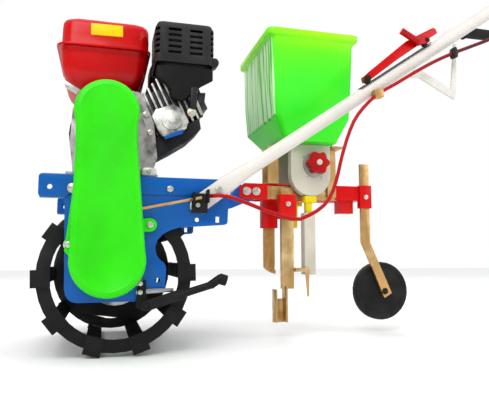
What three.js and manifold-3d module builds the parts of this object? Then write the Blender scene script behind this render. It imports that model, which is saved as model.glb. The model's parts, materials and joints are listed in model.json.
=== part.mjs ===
// Walk-behind seeder with a petrol engine: blue side plates over a steel cage wheel, a green belt
// cover, white handle tubes and a red toolbar with hopper, metering, openers and press wheel.
// Millimetres. +X runs to the rear, -Y is the belt side, +Z is up. The ground is Z = 0.

import * as THREE from "three";
import { mergeVertices } from "three/addons/utils/BufferGeometryUtils.js";
import Module from "manifold-3d";

const wasm = await Module();
wasm.setup();

// ---------------------------------------------------------------- driving dimensions
const GAP = 0.3; // between pieces that touch
const RIGHT_ANGLE = Math.PI / 2;

// cage wheel
const HOOP_R = 148;
const HOOP_BORE_R = 123;
const HOOP_T = 5;
const WHEEL_HALF_WIDTH = 193.5;
const LUG_COUNT = 10;
const LUG_PHASE = THREE.MathUtils.degToRad(2);
const LUG_PITCH = (2 * Math.PI) / LUG_COUNT;
const LUG_W = 34;
const LUG_TIP_R = 157;
const LUG_T = 4;
const SPIDER_HALF = 118;
const SPIDER_CORNER_R = 142;
const SPIDER_TURN = THREE.MathUtils.degToRad(8);
const AXLE_R = 12;
const AXLE_X = 26;
// The two lugs nearest the ground stand 16 degrees either side of it, so their corners carry the wheel.
const LOWEST_LUG = THREE.MathUtils.degToRad(270 - 254) - Math.atan(LUG_W / 2 / LUG_TIP_R);
const AXLE_Z = Math.hypot(LUG_TIP_R, LUG_W / 2) * Math.cos(LOWEST_LUG);

// side plates, deck and hitch
const PLATE_IN_Y = 213;
const PLATE_T = 4;
const PLATE_OUT_Y = PLATE_IN_Y + PLATE_T;
const RAIL_OUT_Y = PLATE_OUT_Y + 3;
const DECK_TOP = 349;
const DECK_T = 4;
const DECK_FRONT_X = -75;
const FRAME_REAR_X = 241;
const RAIL_BOTTOM = 314;

// belt drive
const CRANK_X = 1.5;
const CRANK_Z = 463;
const INPUT_X = 9.5;
const INPUT_Z = 186;
const COVER_TOP_R = 58;
const COVER_LOW_R = 67;
const COVER_WAIST_HALF = 54;
const COVER_WAIST_Z = 408;
const COVER_FRONT_Y = -276;
const COVER_BACK_Y = -224.3;
const COVER_WALL = 3;
const BACK_PLATE_T = 3.7;
const PULLEY_NEAR_Y = -268;
const PULLEY_FAR_Y = -248;
const DRIVE_PULLEY_R = 40;
const DRIVEN_PULLEY_R = 52;
const BELT_T = 8;
const BELT_W = 10;
const BELT_DEPTH = 7; // how far the belt's back sits inside the pulley rims' height
const IDLER_R = 18;
const IDLER_X = 19;
const IDLER_Z = 300;
const ARM_PIVOT_Z = 395;
const ROD_Y = -240;
const ROD_R = 3;
const ROD_FRONT = [24, ROD_Y, 274];
const ROD_REAR = [186, ROD_Y, 308.4];

// handle
const TUBE_R = 14.5;
const TUBE_Y = 223.3;
const HANDLE_SLOPE = 0.678;
const FLAT_HALF_W = 18;
const GRIP_FRONT_X = 1165;
const GRIP_REAR_X = 1300;
const GRIP_Z = 952;

// engine
const ENGINE_NEAR_Y = -190;
const CYLINDER_TILT = THREE.MathUtils.degToRad(25);
const FIN_NEAR_Y = -148;
const MUFFLER_NEAR_Y = -164;

// toolbar, hopper and metering
const BAR_HALF = 20;
const BAR_BOTTOM = 332;
const BAR_TOP = 372;
const REAR_BLOCK_TOP = 373;
const BOX_IN_Y = 38;
const BOX_OUT_Y = 62;
const BOX_X = 489.5;
const BOX_HALF = 51.5;
const BOX_TOP = 468;
const BOX_ROUND_Z = 392;
const ROLLER_X = 501;
const ROLLER_Z = 420;
const ROLLER_R = 20;
const OPENER_Y = -42;
const FRONT_OPENER_Y = 30;
const PIPE_NEAR_Y = -62;
const CHUTE_X = 485;

// press wheel
const PRESS_R = 74;
const PRESS_X = 701;
const PRESS_Z = 105; // lifted clear of the ground, like both openers
const PRESS_NEAR_Y = -18;
const PRESS_W = 32;
const PRESS_ARM_Y = -26;
const PRESS_ARM_X = 650.5;
const PRESS_ARM_HALF = 12;

// ---------------------------------------------------------------- finishes
const finish = (color, roughness, metalness) => ({ color, roughness, metalness });
const BLUE_PAINT = finish(0x0a58b4, 0.45, 0.2);
const GREEN_PLASTIC = finish(0x35d916, 0.4, 0);
const RED_PAINT = finish(0xd40f12, 0.4, 0.1);
const BLACK_PAINT = finish(0x1c1c1e, 0.6, 0.2);
const WHITE_PAINT = finish(0xe9e7e0, 0.45, 0.1);
const ZINC = finish(0xb99a5f, 0.4, 0.8);
const CAST_ALLOY = finish(0xb9bbbd, 0.5, 0.8);
const STEEL = finish(0x8c8f93, 0.35, 0.9);
const BLACK_RUBBER = finish(0x151515, 0.85, 0);
const BLACK_PLASTIC = finish(0x202224, 0.6, 0);
const PALE_PLASTIC = finish(0xe4e2d6, 0.5, 0);
const YELLOW_PLASTIC = finish(0xf0e21c, 0.45, 0);

// ---------------------------------------------------------------- solids
// A closed geometry as a manifold-3d solid, its shared corners merged.
function solidOf(geometry) {
  const bare = geometry.clone();
  bare.deleteAttribute("normal");
  bare.deleteAttribute("uv");
  const merged = mergeVertices(bare, 1e-3);
  return new wasm.Manifold(
    new wasm.Mesh({
      numProp: 3,
      vertProperties: new Float32Array(merged.attributes.position.array),
      triVerts: new Uint32Array(merged.index.array),
    }),
  );
}

function geometryOf(solid) {
  const mesh = solid.getMesh();
  const geometry = new THREE.BufferGeometry();
  geometry.setAttribute("position", new THREE.BufferAttribute(mesh.vertProperties, 3));
  geometry.setIndex(new THREE.BufferAttribute(mesh.triVerts, 1));
  return geometry;
}

function join(...geometries) {
  return geometryOf(geometries.map(solidOf).reduce((all, one) => all.add(one)));
}

function cut(body, ...tools) {
  return geometryOf(tools.map(solidOf).reduce((left, tool) => left.subtract(tool), solidOf(body)));
}

function overlap(one, other) {
  return geometryOf(solidOf(one).intersect(solidOf(other)));
}

// A box between two corners.
function block(x0, x1, y0, y1, z0, z1) {
  const box = new THREE.BoxGeometry(x1 - x0, y1 - y0, z1 - z0);
  return box.translate((x0 + x1) / 2, (y0 + y1) / 2, (z0 + z1) / 2);
}

// Round bars along each axis.
function barY(x, z, r, y0, y1, sides = 16) {
  return new THREE.CylinderGeometry(r, r, y1 - y0, sides).translate(x, (y0 + y1) / 2, z);
}

function barZ(x, y, r, z0, z1, sides = 16) {
  const bar = new THREE.CylinderGeometry(r, r, z1 - z0, sides).rotateX(RIGHT_ANGLE);
  return bar.translate(x, y, (z0 + z1) / 2);
}

// A round bar between any two points.
function barBetween(from, to, r, sides = 12) {
  const a = new THREE.Vector3(...from);
  const b = new THREE.Vector3(...to);
  const bar = new THREE.CylinderGeometry(r, r, a.distanceTo(b), sides);
  const turn = new THREE.Quaternion().setFromUnitVectors(
    new THREE.Vector3(0, 1, 0),
    b.clone().sub(a).normalize(),
  );
  return bar.applyQuaternion(turn).translate(...a.add(b).multiplyScalar(0.5).toArray());
}

function shapeOf(points) {
  return new THREE.Shape(points.map(([x, y]) => new THREE.Vector2(x, y)));
}

// A flat plate whose outline lies in X and Z, between two values of Y.
function plateY(shape, y0, y1, curveSegments = 8) {
  const plate = new THREE.ExtrudeGeometry(shape, {
    depth: y1 - y0,
    bevelEnabled: false,
    curveSegments,
  });
  return plate.rotateX(RIGHT_ANGLE).translate(0, y1, 0);
}

// A flat bar between two points in X and Z, with round ends.
function strapY(x0, z0, x1, z1, half, y0, y1) {
  const along = Math.atan2(z1 - z0, x1 - x0);
  const shape = new THREE.Shape();
  shape.absarc(x0, z0, half, along + RIGHT_ANGLE, along + 3 * RIGHT_ANGLE, false);
  shape.absarc(x1, z1, half, along - RIGHT_ANGLE, along + RIGHT_ANGLE, false);
  return plateY(shape, y0, y1, 5);
}

// A closed skin through rings of points that all have the same count, capped at both ends.
function loft(rings) {
  const count = rings[0].length;
  const positions = rings.flat().flatMap((p) => [p.x, p.y, p.z]);
  const faces = [];
  for (let r = 0; r < rings.length - 1; r++)
    for (let i = 0; i < count; i++) {
      const a = r * count + i;
      const b = r * count + ((i + 1) % count);
      faces.push(a, b, a + count, b, b + count, a + count);
    }
  const last = (rings.length - 1) * count;
  for (let i = 1; i < count - 1; i++) {
    faces.push(0, i + 1, i);
    faces.push(last, last + i, last + i + 1);
  }
  const skin = new THREE.BufferGeometry();
  skin.setAttribute("position", new THREE.Float32BufferAttribute(positions, 3));
  skin.setIndex(faces);
  return skin;
}

// A level ring with round corners, anticlockwise seen from above.
function levelRing(x0, x1, y0, y1, z, corner, steps = 3) {
  const ring = [];
  const corners = [
    [x1 - corner, y0 + corner, 3],
    [x1 - corner, y1 - corner, 0],
    [x0 + corner, y1 - corner, 1],
    [x0 + corner, y0 + corner, 2],
  ];
  for (const [cx, cy, quarter] of corners)
    for (let i = 0; i <= steps; i++) {
      const angle = (quarter + i / steps) * RIGHT_ANGLE;
      ring.push(
        new THREE.Vector3(cx + corner * Math.cos(angle), cy + corner * Math.sin(angle), z),
      );
    }
  return ring;
}

// A round bar that follows a curve.
function rope(curve, r, sides, steps) {
  const section = new THREE.Shape();
  for (let i = 0; i < sides; i++) {
    const angle = (2 * Math.PI * i) / sides;
    const point = [r * Math.cos(angle), r * Math.sin(angle)];
    if (i === 0) section.moveTo(...point);
    else section.lineTo(...point);
  }
  section.closePath();
  return new THREE.ExtrudeGeometry(section, {
    steps,
    bevelEnabled: false,
    extrudePath: curve,
  });
}

const seeder = new THREE.Group();

function add(name, geometry, look, place = [0, 0, 0], turn = 0) {
  const mesh = new THREE.Mesh(geometry, new THREE.MeshStandardMaterial(look));
  mesh.name = name;
  mesh.position.set(...place);
  mesh.rotation.y = turn;
  seeder.add(mesh);
}

// ---------------------------------------------------------------- side plates, deck and hitch
// One pressed plate: a rail along the top, an apron down to the gearbox and a notch over the wheel.
function sidePlate(side) {
  const outline = new THREE.Shape();
  outline.moveTo(-112, DECK_TOP);
  outline.lineTo(FRAME_REAR_X, DECK_TOP);
  outline.lineTo(246, 308);
  outline.lineTo(244, 263);
  outline.quadraticCurveTo(243, 257, 236, 256.5);
  outline.lineTo(146, 250);
  outline.quadraticCurveTo(102, 240, 99, 212);
  outline.quadraticCurveTo(99, 192, 113, 183);
  outline.quadraticCurveTo(121, 178, 121, 168);
  outline.lineTo(119, 131);
  outline.lineTo(82, 131);
  outline.lineTo(62, 107);
  outline.lineTo(-44, 106);
  outline.quadraticCurveTo(-66, 107, -68, 132);
  outline.lineTo(-73, 304);
  outline.lineTo(-112, 304);
  outline.quadraticCurveTo(-120, 304, -120, 312);
  outline.lineTo(-120, 341);
  outline.quadraticCurveTo(-120, DECK_TOP, -112, DECK_TOP);
  const inner = side < 0 ? -PLATE_OUT_Y : PLATE_IN_Y;
  const sheet = plateY(outline, inner, inner + PLATE_T, 4);
  const rail = new THREE.Shape();
  rail.moveTo(-112, DECK_TOP);
  rail.lineTo(FRAME_REAR_X, DECK_TOP);
  rail.lineTo(244.5, RAIL_BOTTOM);
  rail.lineTo(-60, RAIL_BOTTOM);
  rail.lineTo(-72, 304);
  rail.lineTo(-112, 304);
  rail.quadraticCurveTo(-120, 304, -120, 312);
  rail.lineTo(-120, 341);
  rail.quadraticCurveTo(-120, DECK_TOP, -112, DECK_TOP);
  const railSide = side < 0 ? [-RAIL_OUT_Y, -PLATE_OUT_Y + 1] : [PLATE_OUT_Y - 1, RAIL_OUT_Y];
  const lip = side < 0 ? [-PLATE_IN_Y - 1, -PLATE_IN_Y + 14] : [PLATE_IN_Y - 14, PLATE_IN_Y + 1];
  const foot = block(-118, DECK_FRONT_X - 2, ...lip, 304, 308);
  const through = [-RAIL_OUT_Y - 2, -PLATE_IN_Y + 2];
  const holes = [
    [-100, 324, 5],
    [105, 147, 4.5],
    [181, 266, 4.5],
    [INPUT_X, INPUT_Z, 15],
    [AXLE_X, AXLE_Z, 15],
  ];
  const wanted = side < 0 ? holes.slice(0, 4) : [...holes.slice(0, 3), holes[4]];
  const drills = wanted.map(([x, z, r]) =>
    side < 0 ? barY(x, z, r, ...through, 12) : barY(x, z, r, -through[1], -through[0], 12),
  );
  const slotY = side < 0 ? through : [-through[1], -through[0]];
  const slot = block(219, 227, ...slotY, 261, 273);
  return cut(join(sheet, plateY(rail, ...railSide, 4), foot), ...drills, slot);
}

function engineDeck() {
  const y = PLATE_IN_Y - GAP;
  const sheet = block(DECK_FRONT_X, FRAME_REAR_X, -y, y, DECK_TOP - DECK_T, DECK_TOP);
  const lip = block(DECK_FRONT_X, DECK_FRONT_X + 4, -y, y, DECK_TOP - 34, DECK_TOP - 1);
  const slots = [-140, 20].flatMap((slotY) =>
    [-48, 66].map((x) => block(x, x + 22, slotY - 5, slotY + 5, DECK_TOP - 9, DECK_TOP + 2)),
  );
  return cut(join(sheet, lip), ...slots);
}

// The cross channel behind the wheel and the tongue that the toolbar's fork bolts on to.
function hitchMember() {
  const y = PLATE_IN_Y - GAP;
  const top = DECK_TOP - DECK_T - GAP;
  const channel = cut(
    block(203, FRAME_REAR_X, -y, y, 300, top),
    block(200, FRAME_REAR_X - 4, -y + 4, y - 4, 304, top - 4),
  );
  const tongue = plateY(
    shapeOf([
      [FRAME_REAR_X - 1, 306],
      [300, 310],
      [338, 326],
      [376, 338],
      [376, 368],
      [314, 368],
      [300, 341],
      [FRAME_REAR_X - 1, 341],
    ]),
    -19.6,
    19.6,
  );
  return join(channel, tongue);
}

// ---------------------------------------------------------------- cage wheel
// Everything is built round the wheel's own centre, one lug straight up, then turned into place.
function lugAt(piece, index) {
  return piece.rotateY(RIGHT_ANGLE - LUG_PHASE - index * LUG_PITCH);
}

// Half the cage: a flat hoop, a tab over it for every lug, and every second lug itself.
function cageHalf(side) {
  const outer = WHEEL_HALF_WIDTH;
  const hoopY = side < 0 ? [-outer, -outer + HOOP_T] : [outer - HOOP_T, outer];
  const tabY = side < 0 ? [-outer - LUG_T, -outer + 1] : [outer - 1, outer + LUG_T];
  const reach = outer - HOOP_T - GAP;
  const lugY = side < 0 ? [-outer + HOOP_T - 1, reach] : [-reach, outer - HOOP_T + 1];
  const ring = cut(
    barY(0, 0, HOOP_R, ...hoopY, 40),
    barY(0, 0, HOOP_BORE_R, hoopY[0] - 1, hoopY[1] + 1, 40),
  );
  const pieces = [ring];
  const half = LUG_W / 2;
  for (let i = 0; i < LUG_COUNT; i++) {
    pieces.push(lugAt(block(-half, half, ...tabY, HOOP_BORE_R - 2, LUG_TIP_R), i));
    if (i % 2 === (side < 0 ? 0 : 1)) {
      const floor = HOOP_R - LUG_T - 1.5;
      const inset = half - 0.7;
      pieces.push(lugAt(block(-inset, inset, ...lugY, floor, floor + LUG_T), i));
      pieces.push(lugAt(block(-inset, -inset + LUG_T, ...lugY, floor + 1, LUG_TIP_R - 0.6), i));
    }
  }
  return join(...pieces);
}

// The square plate that carries the far hoop, with the hub that clamps the axle.
function wheelSpider() {
  const back = WHEEL_HALF_WIDTH - HOOP_T - GAP;
  const front = back - 5;
  const square = block(-SPIDER_HALF, SPIDER_HALF, front, back, -SPIDER_HALF, SPIDER_HALF);
  const plate = overlap(
    square.rotateY(SPIDER_TURN),
    barY(0, 0, SPIDER_CORNER_R, front - 1, back + 1, 40),
  );
  const hub = barY(0, 0, 24, 120, front + 1);
  const collar = barY(0, 0, 46, front - 8, front + 1);
  return cut(join(plate, hub, collar), barY(0, 0, AXLE_R + 0.6, 110, back + 2));
}

// ---------------------------------------------------------------- gearbox and belt drive
function gearbox() {
  const wall = -PLATE_IN_Y + GAP;
  const housing = join(
    barY(AXLE_X, AXLE_Z, 60, -165, -62, 24),
    barY(INPUT_X, INPUT_Z, 42, wall, -80, 20),
    barY(AXLE_X, AXLE_Z, 30, -70, -45, 20),
  );
  return cut(
    housing,
    barY(AXLE_X, AXLE_Z, AXLE_R + 2, -110, -40),
    barY(INPUT_X, INPUT_Z, 11, wall - 2, -170),
  );
}

// A grooved pulley on its own stub shaft, centred on its axis.
function pulley(rimR, shaftR, shaftEndY) {
  const half = (PULLEY_FAR_Y - PULLEY_NEAR_Y) / 2;
  const grooveR = rimR - 9;
  const middle = (PULLEY_FAR_Y + PULLEY_NEAR_Y) / 2;
  const profile = [
    [0, -half],
    [rimR, -half],
    [rimR, -half + 3.6],
    [grooveR, -half + 4.6],
    [grooveR, half - 4.6],
    [rimR, half - 3.6],
    [rimR, half],
    [0, half],
  ];
  const points = profile.map(([r, y]) => new THREE.Vector2(r, y));
  const wheel = new THREE.LatheGeometry(points, 24).translate(0, middle, 0);
  return join(wheel, barY(0, 0, shaftR, PULLEY_FAR_Y - 1, shaftEndY));
}

// The line of a belt round both pulleys, grown outwards by a given amount.
function beltOutline(grow, Kind) {
  const topR = DRIVE_PULLEY_R - BELT_DEPTH - 1 + grow;
  const lowR = DRIVEN_PULLEY_R - BELT_DEPTH - 1 + grow;
  const run = Math.hypot(CRANK_X - INPUT_X, CRANK_Z - INPUT_Z);
  const lean = Math.atan2(CRANK_Z - INPUT_Z, CRANK_X - INPUT_X);
  const touch = Math.acos((lowR - topR) / run);
  const line = new Kind();
  line.absarc(CRANK_X, CRANK_Z, topR, lean - touch, lean + touch, false);
  line.absarc(INPUT_X, INPUT_Z, lowR, lean + touch, lean - touch + 2 * Math.PI, false);
  return line;
}

function driveBelt() {
  const outline = beltOutline(BELT_T, THREE.Shape);
  outline.holes.push(beltOutline(0, THREE.Path));
  const middle = (PULLEY_NEAR_Y + PULLEY_FAR_Y) / 2;
  return plateY(outline, middle - BELT_W / 2, middle + BELT_W / 2, 8);
}

// The belt cover's outline: a round top, a slight waist and a larger round bottom.
function coverOutline(grow) {
  const waist = COVER_WAIST_HALF + grow;
  const line = new THREE.Shape();
  const topEnd = THREE.MathUtils.degToRad(-22);
  const lowEnd = THREE.MathUtils.degToRad(14);
  line.absarc(CRANK_X, CRANK_Z, COVER_TOP_R + grow, topEnd, Math.PI - topEnd, false);
  line.lineTo(CRANK_X + 1.5 - waist, COVER_WAIST_Z - 10);
  line.absarc(INPUT_X, INPUT_Z, COVER_LOW_R + grow, Math.PI - lowEnd, 2 * Math.PI + lowEnd, false);
  line.lineTo(CRANK_X + 1.5 + waist, COVER_WAIST_Z - 10);
  return line;
}

function beltCover() {
  const body = plateY(coverOutline(0), COVER_FRONT_Y, COVER_BACK_Y, 12);
  const hollow = plateY(
    coverOutline(-COVER_WALL),
    COVER_FRONT_Y + COVER_WALL,
    COVER_BACK_Y + 1,
    12,
  );
  const rodGate = block(55, 85, ROD_Y - 8, COVER_BACK_Y + 1, 268, 302);
  return cut(body, hollow, rodGate);
}

function coverBackPlate() {
  const y = [COVER_BACK_Y + GAP, COVER_BACK_Y + GAP + BACK_PLATE_T];
  const plate = join(
    plateY(coverOutline(2), ...y, 10),
    plateY(
      shapeOf([
        [-57, 330],
        [-70, 203],
        [-60, 192],
        [-40, 200],
        [-40, 330],
      ]),
      ...y,
    ),
    strapY(60, 252, 88, 254, 13, ...y),
  );
  return cut(
    plate,
    barY(CRANK_X, CRANK_Z, 16, y[0] - 1, y[1] + 1),
    barY(INPUT_X, INPUT_Z, 16, y[0] - 1, y[1] + 1),
    barY(88, 254, 4, y[0] - 1, y[1] + 1, 12),
    barY(-61, 215, 4, y[0] - 1, y[1] + 1, 12),
  );
}

function idlerArm() {
  const y = [PULLEY_FAR_Y + 1.7, PULLEY_FAR_Y + 4.7];
  const arm = strapY(CRANK_X, ARM_PIVOT_Z, IDLER_X, IDLER_Z, 11, ...y);
  const tail = strapY(IDLER_X, IDLER_Z, ROD_FRONT[0], ROD_FRONT[2], 8, ...y);
  const pivot = barY(CRANK_X, ARM_PIVOT_Z, 7, y[0] - 1, COVER_BACK_Y);
  const pin = barY(IDLER_X, IDLER_Z, 5, PULLEY_NEAR_Y, y[0] + 1);
  return join(arm, tail, pivot, pin);
}

function idlerPulley() {
  const wheel = barY(0, 0, IDLER_R, PULLEY_NEAR_Y + 4, PULLEY_FAR_Y - 2, 28);
  return cut(wheel, barY(0, 0, 6, PULLEY_NEAR_Y, PULLEY_FAR_Y + 2));
}

function clutchRod() {
  const rod = barBetween(ROD_FRONT, ROD_REAR, ROD_R, 12);
  return join(rod, barY(ROD_FRONT[0], ROD_FRONT[2], 6, ROD_Y - 3, ROD_Y + 3, 16));
}

// The folded black bracket that holds the end of the clutch cable's sleeve.
function cableBracket() {
  const back = -RAIL_OUT_Y - GAP - 6 - GAP;
  const plate = block(168, 200, back - 4, back, 279, 318);
  const front = block(168, 172, -252, back - 1, 293, 318);
  const rear = block(196, 200, -252, back - 1, 298, 324);
  const cableGate = barBetween([190, ROD_Y, 309.5], [206, ROD_Y, 312.3], 4, 12);
  const rodGate = block(160, 175, ROD_Y - 6, ROD_Y + 6, 298, 312);
  return cut(join(plate, front, rear), cableGate, rodGate);
}

// ---------------------------------------------------------------- engine
// Along the cylinder (u), across it (v), as X and Z.
function cylinderPoint(u, v) {
  return [
    CRANK_X + u * Math.cos(CYLINDER_TILT) - v * Math.sin(CYLINDER_TILT),
    CRANK_Z + u * Math.sin(CYLINDER_TILT) + v * Math.cos(CYLINDER_TILT),
  ];
}

function cylinderBlock(u0, u1, v0, v1, y0, y1) {
  const corners = [cylinderPoint(u0, v0), cylinderPoint(u1, v0), cylinderPoint(u1, v1)];
  return plateY(shapeOf([...corners, cylinderPoint(u0, v1)]), y0, y1);
}

function crankcase() {
  const base = DECK_TOP + GAP;
  const outline = shapeOf([
    [-62, base + 8],
    [92, base + 8],
    [104, 396],
    [96, 470],
    [66, 532],
    [10, 542],
    [-40, 532],
    [-66, 490],
    [-70, 420],
  ]);
  const ends = [ENGINE_NEAR_Y + 16, -58];
  const boss = barY(CRANK_X, CRANK_Z, 34, ENGINE_NEAR_Y, ENGINE_NEAR_Y + 20, 28);
  const feet = [-172, -82].map((y) => block(-76, 106, y, y + 24, base, base + 12));
  const sideCover = barY(CRANK_X + 8, CRANK_Z - 22, 72, ENGINE_NEAR_Y + 6, ENGINE_NEAR_Y + 20, 24);
  const saddle = block(-30, 40, -110, -62, 536, TANK_LEVELS[0][4] - GAP);
  const body = join(plateY(outline, ...ends), boss, sideCover, saddle, ...feet);
  return cut(body, barY(CRANK_X, CRANK_Z, 13, ENGINE_NEAR_Y - 2, ENGINE_NEAR_Y + 45));
}

function engineCylinder() {
  const core = cylinderBlock(94, 196, -46, 36, -140, -72);
  const fins = [];
  for (let i = 0; i < 8; i++) {
    const u = 97 + 12.5 * i;
    fins.push(cylinderBlock(u, u + 4.5, -56, Math.min(58, 40 + 6 * i), FIN_NEAR_Y, -64));
  }
  const head = cylinderBlock(195, 202, -50, 50, -146, -68);
  const rockers = cylinderBlock(201, 218, -40, 40, -138, -76);
  const base = cylinderBlock(89.5, 98, -60, 38, -146, -66);
  return join(core, ...fins, head, rockers, base);
}

// The plate with a round boss on the belt side of the cylinder.
function cylinderSideCover() {
  const y = [-176, FIN_NEAR_Y - GAP];
  const corners = [
    [90, -60],
    [98, -72],
    [146, -70],
    [156, -58],
    [154, -26],
    [140, -12],
    [102, -10],
    [90, -20],
  ];
  const plate = plateY(shapeOf(corners.map(([u, v]) => cylinderPoint(u, v))), ...y);
  const [x, z] = cylinderPoint(124, -42);
  const drum = barY(x, z, 21, y[0] - 6, y[0] + 1, 28);
  return join(plate, drum, barY(x, z, 8, y[0] - 11, y[0] - 5, 6));
}

// The tank's outline from the bottom up: x0, x1, y0, y1, z, corner. The seam flange is separate.
const TANK_LEVELS = [
  [-46, 50, -66, 86, 552, 24],
  [-62, 58, -80, 100, 556, 30],
  [-77, 67, -91, 111, 567, 34],
  [-89, 77, -99, 119, 582, 36],
  [-96, 84, -104, 124, 602, 36],
  [-99, 89, -106, 126, 640, 34],
  [-98, 89, -105, 125, 690, 30],
  [-97, 88, -104, 124, 704, 28],
  [-90, 81, -97, 117, 711, 26],
  [-79, 70, -86, 106, 714, 22],
];
const TANK_WALL = 1.6;

// A pressed tank, hollow down from its filler neck.
function fuelTank() {
  const skin = (inset) =>
    loft(
      TANK_LEVELS.map(([x0, x1, y0, y1, z, corner], i) => {
        const lift = i < 2 ? inset : i > TANK_LEVELS.length - 3 ? -inset : 0;
        return levelRing(x0 + inset, x1 - inset, y0 + inset, y1 - inset, z + lift, corner - inset);
      }),
    );
  const flange = loft([
    levelRing(-109, 93, -117, 137, 646, 36),
    levelRing(-109, 93, -117, 137, 651, 36),
  ]);
  const top = TANK_LEVELS[TANK_LEVELS.length - 1][4];
  const neck = barZ(-5, 15, 20, top - 6, top + 5, 24);
  const mouth = barZ(-5, 15, 16, top - 20, top + 8, 24);
  return cut(join(skin(0), flange, neck), skin(TANK_WALL), mouth);
}

// The muffler: a skirt that hangs in front of the fins, and the silencer over the cylinder.
function mufflerBody() {
  const near = MUFFLER_NEAR_Y;
  const body = loft([
    levelRing(138, 160, near + 2, FIN_NEAR_Y - 3, 527, 4),
    levelRing(130, 168, near + 1, FIN_NEAR_Y - 2, 533, 5),
    levelRing(128, 184, near, FIN_NEAR_Y - 2, 549, 5),
    levelRing(119, 198, near, FIN_NEAR_Y - 2, 561, 5),
    levelRing(106, 210, near, FIN_NEAR_Y - 2, 568, 5),
    levelRing(100, 223, near, FIN_NEAR_Y - 2, 576, 5),
    levelRing(100, 223, near, FIN_NEAR_Y - 2, 598, 5),
    levelRing(104, 219, near, -70, 602, 18),
    levelRing(104, 217, near, -70, 640, 18),
    levelRing(112, 210, near + 8, -78, 684, 18),
  ]);
  const hollow = loft([
    levelRing(108, 214, near + 4, -74, 607, 15),
    levelRing(108, 212, near + 4, -74, 640, 15),
    levelRing(116, 206, near + 12, -82, 688, 15),
  ]);
  return cut(body, hollow);
}

// The slotted pressed guard over the muffler, open underneath.
function mufflerGuard() {
  const near = MUFFLER_NEAR_Y - 6;
  const shell = cut(
    loft([
      levelRing(97, 225, near, -56, 607, 14),
      levelRing(97, 225, near, -56, 686, 14),
      levelRing(102, 220, near + 5, -61, 697, 12),
    ]),
    loft([
      levelRing(99.5, 222.5, near + 2.5, -58.5, 603, 11),
      levelRing(99.5, 222.5, near + 2.5, -58.5, 684.5, 11),
      levelRing(104, 218, near + 7, -63, 694, 9),
    ]),
  );
  const slots = [];
  for (let row = 0; row < 5; row++) {
    const z = 626 + 12.6 * row;
    for (const x of [138, 184]) slots.push(block(x - 14, x + 14, near - 4, near + 4, z, z + 6));
    slots.push(block(90, 106, near - 4, near + 20, z, z + 6));
    slots.push(block(216, 230, near - 4, near + 20, z, z + 6));
  }
  const lug = barY(225, 616, 11, near + 8, near + 30, 20);
  return cut(join(shell, cut(lug, block(190, 222.4, near, near + 40, 590, 640))), ...slots);
}

// The blower shell on the far side of the crankcase, open towards it.
function fanHousing() {
  const near = -58 + GAP;
  const drum = barY(CRANK_X, CRANK_Z, 81, near, 34, 28);
  const bell = barY(CRANK_X, CRANK_Z, 74, 33, 66, 28);
  const scroll = cylinderBlock(50, 156, -52, 44, near, 20);
  const inside = join(
    barY(CRANK_X, CRANK_Z, 77, near - 2, 31, 28),
    barY(CRANK_X, CRANK_Z, 70, 30, 63, 28),
    cylinderBlock(52, 153, -49, 41, near - 2, 17),
  );
  return cut(join(drum, bell, scroll), inside);
}

function airCleaner() {
  return loft([
    levelRing(108, 222, 26, 128, 574, 24),
    levelRing(102, 228, 22, 134, 588, 28),
    levelRing(102, 228, 22, 134, 664, 28),
    levelRing(112, 218, 32, 124, 688, 26),
  ]);
}

// The carburettor and its intake elbow, between the cylinder head and the air cleaner.
function carburettor() {
  return join(
    barY(196, 550, 17, -62, 64, 20),
    barZ(196, 4, 20, 514, 550, 20),
    block(178, 214, -63, -56, 528, 576),
    barZ(196, 50, 14, 550, 574 - GAP, 20),
  );
}

// A flat engine lever on a pin, centred on the pin.
function throttleLever() {
  const blade = strapY(0, 0, 40, 22, 6, 70, 74);
  return join(blade, barY(0, 0, 5, 66 + GAP, 76, 16));
}

// ---------------------------------------------------------------- handle
// An oval ring square to a direction in the X-Z plane.
function ovalRing(x, y, z, lean, acrossR, sideR, sides = 12) {
  const ring = [];
  for (let i = 0; i < sides; i++) {
    const angle = (2 * Math.PI * i) / sides;
    const across = acrossR * Math.cos(angle);
    ring.push(
      new THREE.Vector3(
        x - across * Math.sin(lean),
        y - sideR * Math.sin(angle),
        z + across * Math.cos(lean),
      ),
    );
  }
  return ring;
}

function handleZ(x) {
  return 355 + HANDLE_SLOPE * (x - 262);
}

const BEND_START_X = 1040;
const BEND_LENGTH = GRIP_FRONT_X - 25 - BEND_START_X;
const BEND_STEPS = 5;

// The tube's run from the slope, round the bend and along the grip, to a given end.
function tubeRun(y, r, startX, endX) {
  const slope = Math.atan(HANDLE_SLOPE);
  const rings = [ovalRing(startX, y, handleZ(startX), slope, r, r)];
  const bendZ = handleZ(BEND_START_X);
  rings.push(ovalRing(BEND_START_X, y, bendZ, slope, r, r));
  for (let i = 1; i <= BEND_STEPS; i++) {
    const part = i / BEND_STEPS;
    const x = BEND_START_X + BEND_LENGTH * part;
    const ease = (GRIP_Z - bendZ) * part * part * (3 - 2 * part);
    const z = bendZ + ease + HANDLE_SLOPE * BEND_LENGTH * part * (1 - part) ** 2;
    rings.push(ovalRing(x, y, z, slope * (1 - part), r, r));
  }
  rings.push(ovalRing(endX, y, GRIP_Z, 0, r, r));
  return rings;
}

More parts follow.
